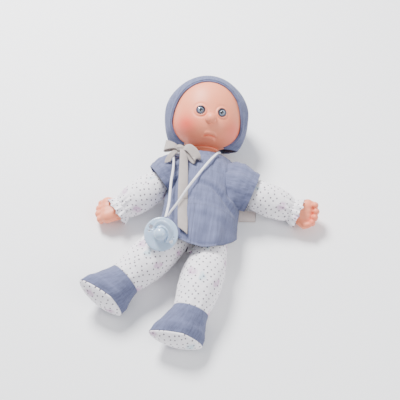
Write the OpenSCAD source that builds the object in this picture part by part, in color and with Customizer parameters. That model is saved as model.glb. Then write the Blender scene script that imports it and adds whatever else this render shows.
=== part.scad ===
// Soft-bodied baby doll with vinyl head and hands, a sound module and a pacifier on a neck cord.
// It lies on its back: +Y runs towards the head, +Z is the front of the doll, +X is its left side.
// Every solid stands on or above z = 0, and the middle of the doll's box is over the origin.

/* [Torso] */
// Radius of the stuffed torso
torso_r = 44.6; // [44.2:0.2:44.8]
// Height of the torso's long axis above the resting surface
torso_axis_z = 16.5; // [16:0.25:17]
// Thickness of the printed jersey
jersey_t = 1.2; // [1:0.1:1.4]
// Thickness of the tunic's double gauze
gauze_t = 2; // [1.8:0.1:2.2]

/* [Head] */
// Largest radius of the vinyl head
head_r = 45.5; // [45:0.25:45.75]
// Wall of the vinyl head
vinyl_t = 3; // [2.5:0.25:3.25]
// Backward tilt of the head's axis from the body's axis, in degrees
head_tilt = 26; // [25:0.5:27]
// How far the face is turned towards the doll's left, in degrees
face_turn = 10; // [6:1:11]
// Largest radius of the bonnet
bonnet_r = 51.5; // [51:0.25:52]
// Distance between the centres of the eyeballs
eye_spacing = 27; // [26:0.5:28]

/* [Arms] */
// Largest radius of a stuffed arm
arm_r = 20.5; // [19.5:0.25:20.5]
// Length of an arm from the shoulder to the gathered wrist
arm_len = 64.5; // [63:0.5:66]
// Radius of the ruffled cuff
cuff_r = 18; // [17:0.25:18]

/* [Legs] */
// Largest radius of a stuffed leg
leg_r = 25.5; // [24.5:0.25:25.5]
// Length of a leg from the hip to the ankle seam
leg_len = 80; // [78:0.5:81]
// Radius of a leg at its ankle seam
ankle_r = 21; // [20:0.25:21.5]
// Length of a foot
foot_len = 64; // [62:0.5:65]
// Width of a foot
foot_w = 37; // [35:0.5:38]

/* [Sound module] */
// Width of the module across the body
module_w = 58; // [56:1:60]
// Length of the module along the body
module_l = 52; // [50:1:54]
// Travel of the tummy button
button_travel = 1.5; // [1:0.1:1.8]

/* [Pacifier] */
// Radius of the pacifier's shield
shield_r = 20; // [19:0.25:20.5]
// Diameter of the neck cord
cord_d = 2.4; // [2:0.1:2.6]
// Width of the bow's ribbon
ribbon_w = 11.5; // [10:0.5:12]

/* [Hidden] */

gauze = "#7c86ae";
jersey = "#f1edf0";
vinyl = "#f2b39c";
ribbon = "#b5a9a5";
cream = "#efe6dc";
pale_blue = "#c3d2e4";
fibre = "#fafafa";

// Moves the doll so that the middle of its box is over the origin
shift = [-7, -5, 0];
big = 400;
round_fn = 64;
fit_gap = 0.4;

// Torso and tunic are barrels along Y, whose radius follows a superellipse
torso_mid = 18;
torso_half = 62;
tunic_mid = 2;
tunic_half = 84;
barrel_power = 3.5;
tunic_gap = 1.4;
tunic_r = torso_r + tunic_gap + gauze_t;
tunic_floor = gauze_t - 0.2;
torso_floor = tunic_floor + 1.6;
skirt_top = -8;
sleeve_reach = 18;
hem_y = -61;
hem_slope = 38;

// Joint centres and directions
head_c = [-7, 137, 53];
neck_r = 16;
casing_r = 18.2;
casing_bottom = -70;
casing_top = -48.5;
eye_y = -36.3;
eye_h = -6;
eye_r = 7.8;
iris_y = -5.6;
shoulder_left = [49.8, 39.1, 32.7];
shoulder_right = [-49, 42.5, 32.7];
arm_dir_left = [0.952, -0.232, -0.2];
arm_dir_right = [-0.75, -0.63, -0.2];
hip_left = [19.5, -51, 28];
hip_right = [-26, -36, 28];
leg_dir_left = [-0.18, -0.982, -0.05];
leg_dir_right = [-0.637, -0.769, -0.05];
arm_root_r = 12;
armhole_r = 17.5;
hand_plug_r = 12;
leg_root_r = 20;
leghole_r = 26;
// Extra room in the covers for a limb that moves
arm_room = 5.6;
arm_room_at = 9;
thigh_room = 2.2;
thigh_room_at = 21;
// Where the hand's waist ends, beyond the gathered wrist
waist_end = 3.8;
cuff_end = 10.4;

hand_dir_left = [0.995, -0.03, -0.05];
hand_dir_right = [-0.985, -0.12, -0.1];
sole_c_left = [-7.5, -165.5, 23];
sole_c_right = [-100.5, -127, 28];
toe_left = [-0.955, 0.078, 0.287];
toe_right = [-0.742, 0.352, 0.57];
sole_dir_left = [-0.06, -0.99, 0.07];
sole_dir_right = [-0.35, -0.92, 0.11];

// Sound module, in the middle of the belly
module_c = [0, 12.5];
module_z = 10;
base_h = 12;
lid_h = 10;
wall = 1.6;
button_r = 12;
battery_r = 5.25;
battery_l = 44.5;

// Pacifier lying on the right thigh
pacifier_c = [-39, -54, 63];
pacifier_dir = [0, -0.45, 0.893];
pacifier_up = [0, 0.893, 0.45];
knob_r = 8.5;
hinge_h = 5.4;
ring_r = 14;
ring_band = 4.4;
ring_reach = 19;
ring_lean = 22;
ring_turn = 45;

// Middle of the bow's knot
knot_c = [-34, 74, 58];

// Cord routes, from the neck to the pacifier's ring
loop_route = [[-40, 66.5, 54.5], [-34, 73, 46.8], [-32, 83, 41], [-29, 90, 31], [-26, 94, 22], [-21, 97.5, 16],
    [-14, 99.5, 12], [-7, 100, 11], [0, 99.5, 12], [7, 97.5, 16], [12, 94, 22], [15, 90, 31], [16, 84, 42],
    [15, 78, 51], [13, 73, 57]];
right_route = [[-40.8, 64.8, 56.2], [-40.8, 61, 58], [-39, 52, 59.5], [-38, 38, 61], [-38, 22, 61], [-37, 6, 62],
    [-36, -10, 64], [-36, -22, 67], [-36, -31, 71], [-36, -37, 75]];
left_route = [[12.3, 71.6, 58], [11, 68, 60], [7, 59, 64], [1, 46, 66.5], [-8, 27, 68], [-17, 8, 68.5],
    [-25, -12, 69], [-30, -24, 71], [-32, -31, 73.5], [-33, -37, 77]];

function unit(v) = v / norm(v);
function swell(s, half, r, p) = r * pow(max(0, 1 - pow(abs(s) / half, p)), 1 / p);

module place() {
    translate(shift) children();
}

// Stands the children's +Z along d at point c, with their +X turned towards up
module aim(c, d, up = [0, 0, 1]) {
    b = acos(unit(d)[2]);
    a = atan2(d[1], d[0]);
    across = [cos(a) * cos(b), sin(a) * cos(b), -sin(b)];
    side = [-sin(a), cos(a), 0];
    translate(c) rotate([0, b, a]) rotate([0, 0, atan2(up * side, up * across)]) children();
}

module above(z) {
    translate([-big / 2, -big / 2, z]) cube(big);
}

module barrel(mid, half, r) {
    steps = 12;
    outline = [for (i = [0:steps]) let (s = half * cos(180 * i / steps)) [swell(s, half, r, barrel_power), s]];
    translate([0, mid, torso_axis_z]) rotate([-90, 0, 0]) rotate_extrude($fn = round_fn) polygon(outline);
}

// The head's frame: +Z to the crown, -Y out of the face, +X to the doll's left
module head_frame() {
    translate(head_c) rotate([head_tilt - 90, 0, 0]) children();
}

module face_frame() {
    head_frame() rotate([0, 0, face_turn]) children();
}

// A pear that is fullest at the cheeks
module pear(r, up, down, full_at, power_up, power_down) {
    steps = 14;
    outline = concat(
        [for (i = [0:steps]) let (s = up * cos(90 * i / steps)) [swell(s, up, r, power_up), full_at + s]],
        [for (i = [1:steps]) let (s = down * sin(90 * i / steps)) [swell(s, down, r, power_down), full_at - s]]);
    rotate_extrude($fn = round_fn) polygon(outline);
}

module head_form(inset = 0) {
    pear(head_r - inset, 58.5 - inset, 34 - inset, -14, 2.2, 2.3);
}

module bonnet_form(inset = 0) {
    pear(bonnet_r - inset, 56 - inset, 56 - inset, -7, 1.95, 2.4);
}

// Limbs: bodies of revolution along +Z from the joint, with a round root
module arm_form(grow = 0) {
    outline = [[0, 0], [arm_root_r + grow, 0], [arm_r + grow, 20], [arm_r + grow, 42],
        [18 + grow, 56], [14 + grow, arm_len + grow], [0, arm_len + grow]];
    sphere(r = arm_root_r + grow, $fn = round_fn);
    rotate_extrude($fn = round_fn) polygon(outline);
}

module leg_form(grow = 0) {
    outline = [[0, 0], [leg_root_r + grow, 0], [leg_r + grow, 26], [leg_r + grow, 50],
        [23 + grow, 66], [ankle_r + grow, leg_len], [0, leg_len]];
    sphere(r = leg_root_r + grow, $fn = round_fn);
    rotate_extrude($fn = round_fn) polygon(outline);
}

// Round openings in which the limbs' roots turn
module armholes() {
    for (arm = [[shoulder_left, arm_dir_left], [shoulder_right, arm_dir_right]]) {
        translate(arm[0]) sphere(r = armhole_r, $fn = round_fn);
        translate(arm[0] + arm_room_at * unit(arm[1]) - [0, 0, 2]) sphere(r = armhole_r + arm_room, $fn = round_fn);
    }
}

// A second ball in front of each hip is the room that a raised thigh takes
module legholes() {
    for (hip = [hip_left, hip_right]) {
        translate(hip) sphere(r = leghole_r, $fn = round_fn);
        translate(hip + [0, 0, thigh_room_at]) sphere(r = leghole_r + thigh_room, $fn = round_fn);
    }
}

module neck_bore(r) {
    head_frame() translate([0, 0, casing_bottom]) cylinder(r = r, h = casing_top - casing_bottom, $fn = round_fn);
}

module module_box(grow, z0, z1) {
    translate([module_c[0] - module_w / 2 - grow, module_c[1] - module_l / 2 - grow, z0])
        cube([module_w + 2 * grow, module_l + 2 * grow, z1 - z0]);
}

// A round cord swept along a route
function ring_at(route, i) =
    let (last = len(route) - 1,
        along = unit(route[min(i + 1, last)] - route[max(i - 1, 0)]),
        side = unit(cross(along, [0, 0, 1])),
        top = cross(side, along))
    [for (k = [0:7]) route[i] + cord_d / 2 * (cos(45 * k) * side + sin(45 * k) * top)];

module cord(route) {
    n = len(route);
    points = [for (i = [0:n - 1]) each ring_at(route, i)];
    sides = [for (i = [0:n - 2]) for (k = [0:7])
        [8 * i + k, 8 * i + (k + 1) % 8, 8 * i + 8 + (k + 1) % 8, 8 * i + 8 + k]];
    ends = [[for (k = [7:-1:0]) k], [for (k = [0:7]) 8 * (n - 1) + k]];
    polyhedron(points, concat(sides, ends));
}

// ---- body ----

module torso_cover() {
    color(jersey) difference() {
        union() {
            intersection() {
                barrel(torso_mid, torso_half, torso_r);
                above(torso_floor);
            }
            neck_bore(casing_r);
        }
        intersection() {
            barrel(torso_mid, torso_half - jersey_t, torso_r - jersey_t);
            above(torso_floor + jersey_t);
        }
        neck_bore(neck_r + fit_gap + 0.6);
        armholes();
        legholes();
        // slit in the back, through which the module goes in
        translate([-20, module_c[1] - 2, 0]) cube([40, 4, torso_floor + 2]);
    }
}

module torso_stuffing() {
    color(fibre) difference() {
        intersection() {
            barrel(torso_mid, torso_half - jersey_t - 0.2, torso_r - jersey_t - 0.2);
            above(torso_floor + jersey_t + 0.2);
        }
        module_box(0.5, torso_floor, module_z + base_h + lid_h + 0.5);
        translate([module_c[0], module_c[1], module_z]) cylinder(r = button_r + 1, h = base_h + lid_h + 4, $fn = round_fn);
        neck_bore(casing_r + 0.2);
        armholes();
        legholes();
        translate(module_c) translate([-3, 20, 20]) cube([6, 70, 6]);
    }
}

module back_fastener() {
    color(cream) translate([-22, module_c[1] - 7, torso_floor + jersey_t + 0.1]) cube([44, 14, 1.1]);
}

module tunic_shell() {
    difference() {
        intersection() {
            barrel(tunic_mid, tunic_half, tunic_r);
            above(0);
        }
        intersection() {
            barrel(tunic_mid, tunic_half - gauze_t, tunic_r - gauze_t);
            above(tunic_floor);
        }
        neck_bore(casing_r + 1.2);
        armholes();
    }
}

module tunic_body() {
    color(gauze) intersection() {
        tunic_shell();
        translate([-big / 2, skirt_top, 0]) cube([big, big, big]);
    }
}

module tunic_skirt() {
    color(gauze) difference() {
        intersection() {
            translate([0, hem_y, torso_axis_z]) rotate([-90, 0, 0])
                cylinder(r = tunic_r, h = skirt_top - hem_y, $fn = round_fn);
            above(0);
        }
        intersection() {
            translate([0, hem_y - 1, torso_axis_z]) rotate([-90, 0, 0])
                cylinder(r = tunic_r - gauze_t, h = 80, $fn = round_fn);
            above(tunic_floor);
        }
        aim(hip_left, leg_dir_left) leg_form(fit_gap);
        aim(hip_right, leg_dir_right) leg_form(fit_gap);
        // the hem rises towards the back
        translate([-big / 2, hem_y, torso_axis_z + tunic_r]) rotate([hem_slope, 0, 0]) translate([0, -big, -big]) cube(big);
    }
}

module tunic_collar() {
    color(gauze) difference() {
        head_frame() translate([0, 0, -66]) cylinder(r = casing_r + 3.2, h = 8, $fn = round_fn);
        head_frame() translate([0, 0, -67]) cylinder(r = casing_r + 1.4, h = 10, $fn = round_fn);
        barrel(tunic_mid, tunic_half + 0.2, tunic_r + 0.2);
    }
}

module tunic_fastener() {
    color(cream) translate([-8, 16, tunic_floor + 0.1]) cube([16, 46, 1.2]);
}

module care_label() {
    color(cream) translate([46.3, 9, 2.4]) cube([23, 17, 0.8]);
}

module neck_tie() {
    color("white") head_frame() translate([0, 0, -58]) difference() {
        cylinder(r = casing_r + 1.1, h = 4, $fn = round_fn);
        translate([0, 0, -1]) cylinder(r = casing_r + 0.05, h = 6, $fn = round_fn);
    }
}

module neck_cord_loop() {
    color("white") cord(loop_route);
}

// ---- sound module ----

module module_base() {
    color("white") difference() {
        module_box(0, module_z, module_z + base_h);
        module_box(-wall, module_z + 2, module_z + base_h + 1);
        // window for the battery cover and slot for the power slider
        translate([module_c[0] - 13.2, module_c[1] - 24.2, module_z - 1]) cube([26.4, 48.4, 4]);
        translate([module_c[0] + 18, module_c[1] - 5, module_z - 1]) cube([5, 10, 4]);
    }
}

module module_lid() {
    top = module_z + base_h + lid_h;
    color("white") difference() {
        module_box(0, module_z + base_h, top);
        module_box(-wall, module_z + base_h - 1, top - wall);
        translate([module_c[0], module_c[1], top - 3]) cylinder(r = button_r - 1.9, h = 4, $fn = round_fn);
        // sound holes round the button
        for (turn = [0:30:330]) {
            translate([module_c[0], module_c[1], top - 3]) rotate([0, 0, turn]) translate([18.5, 0, 0])
                cylinder(r = 1, h = 4, $fn = 16);
        }
        translate([module_c[0], module_c[1] + module_l / 2 - 3, 25]) rotate([-90, 0, 0])
            cylinder(r = 1.4, h = 6, $fn = 24);
    }
}

module circuit_board() {
    color("#2f7d4a") translate([module_c[0] - 26, module_c[1] - 23, module_z + base_h + 0.4]) cube([52, 46, 1.6]);
}

module speaker() {
    color("#333333") translate([module_c[0] - 15.5, module_c[1] + 11.5, module_z + base_h + 2.2]) {
        cylinder(r = 9, h = 3, $fn = round_fn);
        translate([0, 0, 3]) cylinder(r = 5, h = 2, $fn = round_fn);
    }
}

module batteries() {
    for (side = [-1, 1]) {
        color("#c9a24a") translate([module_c[0] + side * 5.6, module_c[1] - battery_l / 2, module_z + 7])
            rotate([-90, 0, 0]) cylinder(r = battery_r, h = battery_l - 1, $fn = 48);
    }
}

module battery_springs() {
    for (end = [-1, 1]) {
        color("#c0c0c0") translate([module_c[0] - 10, module_c[1] + end * 23.4 - 0.3, module_z + 3]) cube([20, 0.6, 7]);
    }
}

module tact_switch() {
    color("#222222") translate([module_c[0] - 3, module_c[1] - 3, module_z + base_h + 2.1]) cube([6, 6, 3.2]);
    color("#222222") translate([module_c[0], module_c[1], module_z + base_h + 5.3]) cylinder(r = 1.6, h = 0.6, $fn = 24);
}

module switch_block() {
    color("#222222") translate([module_c[0] + 17, module_c[1] - 6, module_z + 4.6]) cube([7, 12, 4]);
}

module sensor_lead() {
    color("#c23b3b") translate([module_c[0], module_c[1] + module_l / 2 + 0.2, 25]) rotate([-90, 0, 0])
        cylinder(r = 1, h = 32, $fn = 16);
}

module tummy_button() {
    top = module_z + base_h + lid_h;
    color("#d8d8e0") translate([module_c[0], module_c[1], 0]) {
        translate([0, 0, top + button_travel + 0.3]) cylinder(r = button_r, h = 2, $fn = round_fn);
        translate([0, 0, top - 2.4]) cylinder(r = button_r - 2, h = 5, $fn = round_fn);
    }
}

module power_slider() {
    color("#222222") translate([module_c[0] + 18.2, module_c[1] - 4.5, module_z - 0.6]) cube([4.6, 4, 5]);
}

module battery_cover() {
    color("#e8e8e8") difference() {
        translate([module_c[0] - 13, module_c[1] - 24, module_z]) cube([26, 48, 1.6]);
        translate([module_c[0], module_c[1] - 21, module_z - 1]) cylinder(r = 1.1, h = 4, $fn = 24);
    }
}

module battery_screw() {
    color("#9a9aa0") translate([module_c[0], module_c[1] - 21, module_z - 0.8]) {
        cylinder(r = 2, h = 0.8, $fn = 24);
        cylinder(r = 1.05, h = 3.6, $fn = 24);
    }
}

// ---- head ----

module eye_places() {
    for (side = [-1, 1]) face_frame() translate([side * eye_spacing / 2, eye_y, eye_h]) children();
}

module head_shell() {
    color(vinyl) difference() {
        union() {
            head_frame() head_form();
            head_frame() translate([0, 0, -62]) cylinder(r = neck_r, h = 20, $fn = round_fn);
            face_frame() translate([0, -44.5, -15]) sphere(r = 6.6, $fn = 48);
        }
        head_frame() head_form(vinyl_t);
        head_frame() translate([0, 0, -63]) cylinder(r = neck_r - vinyl_t, h = 30, $fn = round_fn);
        // groove that the neck tie draws the cloth into
        head_frame() translate([0, 0, -58]) difference() {
            cylinder(r = neck_r + 1, h = 4, $fn = round_fn);
            translate([0, 0, -1]) cylinder(r = neck_r - 1, h = 6, $fn = round_fn);
        }
        eye_places() sphere(r = eye_r + fit_gap, $fn = 48);
    }
}

module neck_plug() {
    color("white") head_frame() translate([0, 0, -61]) difference() {
        cylinder(r = neck_r - vinyl_t - 0.05, h = 3, $fn = round_fn);
        translate([0, 0, -1]) cylinder(r = 2, h = 5, $fn = 24);
    }
}

module one_eye(side) {
    face_frame() translate([side * eye_spacing / 2, eye_y, eye_h]) difference() {
        sphere(r = eye_r, $fn = 48);
        translate([-10, iris_y - 20, -10]) cube(20);
    }
}

module eye_left() {
    color("#e9eef2") one_eye(1);
}

module eye_right() {
    color("#e9eef2") one_eye(-1);
}

module eye_lenses() {
    color("#bcd0e0") eye_places() intersection() {
        sphere(r = eye_r, $fn = 48);
        translate([-10, iris_y - 20.1, -10]) cube(20);
    }
}

module mouth_magnet() {
    color("#8a8a90") face_frame() translate([0, -34.5, -28]) rotate([90, 0, 0]) cylinder(r = 4, h = 2, $fn = 48);
}

module mouth_sensor() {
    color("#2f7d4a") face_frame() translate([-5, -34, -34]) cube([10, 1.4, 12]);
}

module bonnet_shell(outer, inner) {
    difference() {
        intersection() {
            head_frame() bonnet_form(outer);
            above(0);
        }
        intersection() {
            head_frame() bonnet_form(inner);
            above(gauze_t);
        }
        // open round the neck
        head_frame() translate([-big / 2, -big / 2, -44 - big]) cube(big);
    }
}

// Everything in front of the face opening's plane, which leans forward at the crown
module face_opening(back) {
    head_frame() rotate([13, 0, 0]) translate([-big / 2, -big - 14 + back, -big / 2]) cube(big);
}

module bonnet() {
    color(gauze) difference() {
        bonnet_shell(0, gauze_t);
        face_opening(0);
    }
}

module bonnet_edging() {
    color(gauze) intersection() {
        difference() {
            head_frame() bonnet_form(-1.2);
            head_frame() bonnet_form(-0.1);
            head_frame() translate([-big / 2, -big / 2, -44 - big]) cube(big);
            face_opening(0);
        }
        face_opening(5);
        above(0);
    }
}

// ---- bow ----

module bow_knot() {
    color(ribbon) hull() {
        translate(knot_c + [-2, 0, 0]) sphere(r = 4.4, $fn = 24);
        translate(knot_c + [2, -1, 0]) sphere(r = 4.2, $fn = 24);
    }
}

// A loop of ribbon: thin at the knot, open at its end
module ribbon_loop(start, end, r) {
    hull() {
        translate(start) sphere(r = 1.6, $fn = 16);
        translate(end) sphere(r = 2, $fn = 16);
        translate((start + end) / 2 + [0, 2, 2.6]) sphere(r = r, $fn = 16);
        translate((start + end) / 2 + [0, -5, 0.5]) sphere(r = r, $fn = 16);
    }
}

module bow_loops() {
    color(ribbon) ribbon_loop(knot_c + [-8, 1, 0], knot_c + [-19, 2, -1], 3);
    color(ribbon) ribbon_loop(knot_c + [7, -4, 2], knot_c + [23, -19, 9], 3);
}

module ribbon_tail(start, end, w) {
    hull() {
        translate(start) cube([w, 1, 1], center = true);
        translate(end) cube([w, 1, 1], center = true);
    }
}

module ribbon_tail_long() {
    color(ribbon) ribbon_tail([-31, 63, 58.5], [-13, -50, 67.5], ribbon_w);
}

module ribbon_tail_short() {
    color(ribbon) ribbon_tail([-43, 67, 61], [-47, 52, 62.5], ribbon_w - 4);
}

// ---- arms ----

module arm_cover(c, d) {
    color(jersey) aim(c, d) difference() {
        arm_form();
        arm_form(-jersey_t);
        translate([0, 0, arm_len - 12]) cylinder(r = hand_plug_r + 0.3, h = 20, $fn = round_fn);
    }
}

module arm_stuffing(c, d) {
    color(fibre) aim(c, d) difference() {
        arm_form(-jersey_t - 0.1);
        translate([0, 0, arm_len - 12.5]) cylinder(r = hand_plug_r + 0.4, h = 20, $fn = round_fn);
    }
}

module cuff(c, d) {
    color(jersey) aim(c, d) rotate_extrude($fn = round_fn)
        polygon([[12.6, arm_len + 0.1], [15.4, arm_len + 0.1], [cuff_r, arm_len + 10], [cuff_r - 1.4, arm_len + 10],
            [14.2, arm_len + 1.5], [12.6, arm_len + 1.5]]);
}

module wrist_tie(c, d) {
    color("white") aim(c, d) translate([0, 0, arm_len + 1.6]) difference() {
        cylinder(r = hand_plug_r + 1.9, h = 2, $fn = round_fn);
        translate([0, 0, -1]) cylinder(r = hand_plug_r + 0.4, h = 5, $fn = round_fn);
    }
}

// Vinyl hand with a plug in the sleeve's end; grip is the side that its fingers curl to
module hand(c, d, hand_d, grip) {
    wrist = c + unit(d) * (arm_len + 4);
    palm = wrist + unit(hand_d) * 16;
    tip = wrist + unit(hand_d) * 27;
    across = unit(cross(hand_d, grip));
    color(vinyl) aim(c, d) translate([0, 0, arm_len - 11.5]) cylinder(r = hand_plug_r, h = 15.5, $fn = round_fn);
    color(vinyl) difference() {
        hull() {
            translate(wrist) sphere(r = 11.5, $fn = 32);
            translate(palm + across * 11) sphere(r = 8, $fn = 24);
            translate(palm - across * 11) sphere(r = 8, $fn = 24);
            for (k = [-1.5:1:1.5]) translate(tip + across * 8 * k + grip * 3) sphere(r = 4.6, $fn = 16);
        }
        // waist that the tie and the cuff stand round
        aim(c, d) rotate_extrude($fn = round_fn)
            polygon([[hand_plug_r, arm_len - 12], [arm_len, arm_len - 12], [arm_len, arm_len + cuff_end],
                [cuff_r - 1.9, arm_len + cuff_end], [hand_plug_r + 1.5, arm_len + waist_end],
                [hand_plug_r, arm_len + waist_end]]);
    }
}

module sleeve(c, d, reach) {
    color(gauze) difference() {
        aim(c, d) rotate_extrude($fn = round_fn)
            polygon([[arm_r + 0.8, -8], [arm_r + 7, -8], [arm_r + 3.2, reach], [arm_r + 1.2, reach]]);
        barrel(tunic_mid, tunic_half + 0.2, tunic_r + 0.3);
    }
}

module arm_cover_left() { arm_cover(shoulder_left, arm_dir_left); }
module arm_stuffing_left() { arm_stuffing(shoulder_left, arm_dir_left); }
module cuff_left() { cuff(shoulder_left, arm_dir_left); }
module wrist_tie_left() { wrist_tie(shoulder_left, arm_dir_left); }
module hand_left() { hand(shoulder_left, arm_dir_left, hand_dir_left, [0, -0.5, 0.866]); }
module sleeve_left() { sleeve(shoulder_left, arm_dir_left, sleeve_reach); }
module arm_cover_right() { arm_cover(shoulder_right, arm_dir_right); }
module arm_stuffing_right() { arm_stuffing(shoulder_right, arm_dir_right); }
module cuff_right() { cuff(shoulder_right, arm_dir_right); }
module wrist_tie_right() { wrist_tie(shoulder_right, arm_dir_right); }
module hand_right() { hand(shoulder_right, arm_dir_right, hand_dir_right, [0, 0, -1]); }
module sleeve_right() { sleeve(shoulder_right, arm_dir_right, sleeve_reach); }

// ---- legs ----

module leg_cover(c, d) {
    color(jersey) aim(c, d) difference() {
        leg_form();
        leg_form(-jersey_t);
    }
}

module leg_stuffing(c, d) {
    color(fibre) aim(c, d) intersection() {
        leg_form(-jersey_t - 0.1);
        translate([0, 0, -leg_root_r]) cylinder(r = leg_r, h = leg_root_r + leg_len);
    }
}

// An oval as long and wide as the foot, square to the sole
module sole_oval(c, d, toe, size, depth, h) {
    r = foot_w / 2 * size;
    run = (foot_len - foot_w) / 2 * size;
    aim(c + unit(d) * depth, d, toe) hull() {
        translate([run, 0, 0]) cylinder(r = r, h = h, $fn = 32);
        translate([-run, 0, 0]) cylinder(r = r * 0.9, h = h, $fn = 32);
    }
}

module foot_upper(c, d, sole_c, sole_d, toe) {
    color(gauze) intersection() {
        hull() {
            aim(c, d) translate([0, 0, leg_len + 0.1]) cylinder(r = ankle_r, h = 1, $fn = 32);
            sole_oval(sole_c, sole_d, toe, 1, -3, 3);
        }
        above(0);
    }
}

module sole(c, d, toe) {
    color(jersey) intersection() {
        hull() {
            sole_oval(c, d, toe, 1, 0.1, 1);
            sole_oval(c, d, toe, 0.55, 7, 1);
        }
        above(0);
    }
}

module leg_cover_left() { leg_cover(hip_left, leg_dir_left); }
module leg_stuffing_left() { leg_stuffing(hip_left, leg_dir_left); }
module foot_upper_left() { foot_upper(hip_left, leg_dir_left, sole_c_left, sole_dir_left, toe_left); }
module sole_left() { sole(sole_c_left, sole_dir_left, toe_left); }
module leg_cover_right() { leg_cover(hip_right, leg_dir_right); }
module leg_stuffing_right() { leg_stuffing(hip_right, leg_dir_right); }
module foot_upper_right() { foot_upper(hip_right, leg_dir_right, sole_c_right, sole_dir_right, toe_right); }
module sole_right() { sole(sole_c_right, sole_dir_right, toe_right); }

// ---- pacifier ----

module cord_strand_right() {
    color("white") cord(right_route);
}

module cord_strand_left() {
    color("white") cord(left_route);
}

module pacifier_frame() {
    aim(pacifier_c, pacifier_dir, pacifier_up) children();
}

module hinge_line(r, reach) {
    translate([0, 0, hinge_h]) rotate([90, 0, -ring_turn]) translate([0, 0, -reach]) cylinder(r = r, h = 2 * reach, $fn = 32);
}

module pacifier_shield() {
    color(pale_blue) pacifier_frame() difference() {
        union() {
            cylinder(r = shield_r, h = 2.4, $fn = round_fn);
            cylinder(r = knob_r, h = 6.5, $fn = round_fn);
            translate([0, 0, 6]) sphere(r = knob_r - 0.5, $fn = 48);
            // magnet's housing, which the doll's mouth holds
            translate([0, 0, -5]) cylinder(r = 6, h = 5.5, $fn = round_fn);
            hinge_line(1.5, ring_r - 1);
        }
        for (side = [-1, 1]) rotate([0, 0, -120]) {
            translate([side * 14.8, 0, -1]) cylinder(r = 2.2, h = 5, $fn = 32);
            translate([side * 14, side * 4.6, -1]) cylinder(r = 1, h = 5, $fn = 24);
        }
    }
}

// The handle: a wide ring with two eyes that turn on studs beside the knob
module pacifier_ring() {
    color(pale_blue) pacifier_frame() difference() {
        union() {
            translate([0, 0, hinge_h]) rotate([0, 0, -ring_turn]) rotate([0, -ring_lean, 0])
                translate([0, 0, -1.2]) linear_extrude(2.4) difference() {
                    intersection() {
                        union() {
                            translate([ring_reach - ring_r, 0]) circle(r = ring_r, $fn = round_fn);
                            translate([0, -ring_r]) square([ring_reach - ring_r, 2 * ring_r]);
                        }
                        translate([0, -ring_r]) square([ring_reach, 2 * ring_r]);
                    }
                    translate([ring_reach - ring_r, 0]) circle(r = ring_r - ring_band, $fn = round_fn);
                    translate([-1, ring_band - ring_r]) square([ring_reach - ring_r + 1, 2 * (ring_r - ring_band)]);
                }
            difference() {
                hinge_line(2.8, ring_r - 0.3);
                hinge_line(3.2, ring_r - ring_band + 0.3);
            }
        }
        hinge_line(1.55, ring_r + 1);
    }
}

place() torso_cover();
place() torso_stuffing();
place() back_fastener();
place() tunic_body();
place() tunic_skirt();
place() tunic_collar();
place() tunic_fastener();
place() care_label();
place() neck_tie();
place() neck_cord_loop();
place() module_base();
place() module_lid();
place() circuit_board();
place() speaker();
place() batteries();
place() battery_springs();
place() tact_switch();
place() switch_block();
place() sensor_lead();
place() tummy_button();
place() power_slider();
place() battery_cover();
place() battery_screw();
place() head_shell();
place() neck_plug();
place() eye_left();
place() eye_right();
place() eye_lenses();
place() mouth_magnet();
place() mouth_sensor();
place() bonnet();
place() bonnet_edging();
place() bow_knot();
place() bow_loops();
place() ribbon_tail_long();
place() ribbon_tail_short();
place() arm_cover_left();
place() arm_stuffing_left();
place() cuff_left();
place() wrist_tie_left();
place() hand_left();
place() sleeve_left();
place() arm_cover_right();
place() arm_stuffing_right();
place() cuff_right();
place() wrist_tie_right();
place() hand_right();
place() sleeve_right();
place() leg_cover_left();
place() leg_stuffing_left();
place() foot_upper_left();
place() sole_left();
place() leg_cover_right();
place() leg_stuffing_right();
place() foot_upper_right();
place() sole_right();
place() cord_strand_right();
place() cord_strand_left();
place() pacifier_ring();
place() pacifier_shield();
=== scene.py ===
# %% [markdown]
# # A soft baby doll with a vinyl head
# This notebook dresses a doll that lies on its back: a vinyl head and hands, a stuffed body in
# printed jersey, a muslin tunic and bonnet, and a pacifier on a satin cord.
# The solid model gives every place and every joint. We make the surfaces that a person sees.

# %% Load the solid model
import math
import bmesh
import bpy
import numpy as np
from mathutils import Matrix, Vector, noise


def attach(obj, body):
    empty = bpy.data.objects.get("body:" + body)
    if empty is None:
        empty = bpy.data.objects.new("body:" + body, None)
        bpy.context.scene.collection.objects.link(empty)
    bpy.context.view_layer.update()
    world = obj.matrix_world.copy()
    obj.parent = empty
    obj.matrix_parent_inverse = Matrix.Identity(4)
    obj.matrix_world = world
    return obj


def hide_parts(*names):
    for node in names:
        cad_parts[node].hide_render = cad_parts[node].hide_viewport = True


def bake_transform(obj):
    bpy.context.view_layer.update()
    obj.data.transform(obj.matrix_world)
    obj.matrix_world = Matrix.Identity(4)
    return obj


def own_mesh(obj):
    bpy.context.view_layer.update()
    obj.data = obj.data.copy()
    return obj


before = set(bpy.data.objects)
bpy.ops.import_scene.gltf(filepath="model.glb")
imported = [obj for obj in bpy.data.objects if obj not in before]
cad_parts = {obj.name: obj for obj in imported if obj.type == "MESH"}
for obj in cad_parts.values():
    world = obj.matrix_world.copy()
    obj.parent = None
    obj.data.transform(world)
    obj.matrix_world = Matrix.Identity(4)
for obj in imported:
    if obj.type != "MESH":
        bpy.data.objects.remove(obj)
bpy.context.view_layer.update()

# %% [markdown]
# ## Millimetres and the doll's own frame
# The doll's pattern is drawn in millimetres round a point in the belly. One shift carries it to the
# middle of the model's box, and Blender wants metres, so a single helper does both.

# %% Units, and a helper that turns arrays of points into a mesh
SHIFT = np.array([-7.0, -5.0, 0.0])
TORSO_AXIS_Z = 16.5


def metres(points):
    return (np.asarray(points, float) + SHIFT) / 1000


def unit(v):
    v = np.asarray(v, float)
    return v / np.linalg.norm(v)


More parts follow.
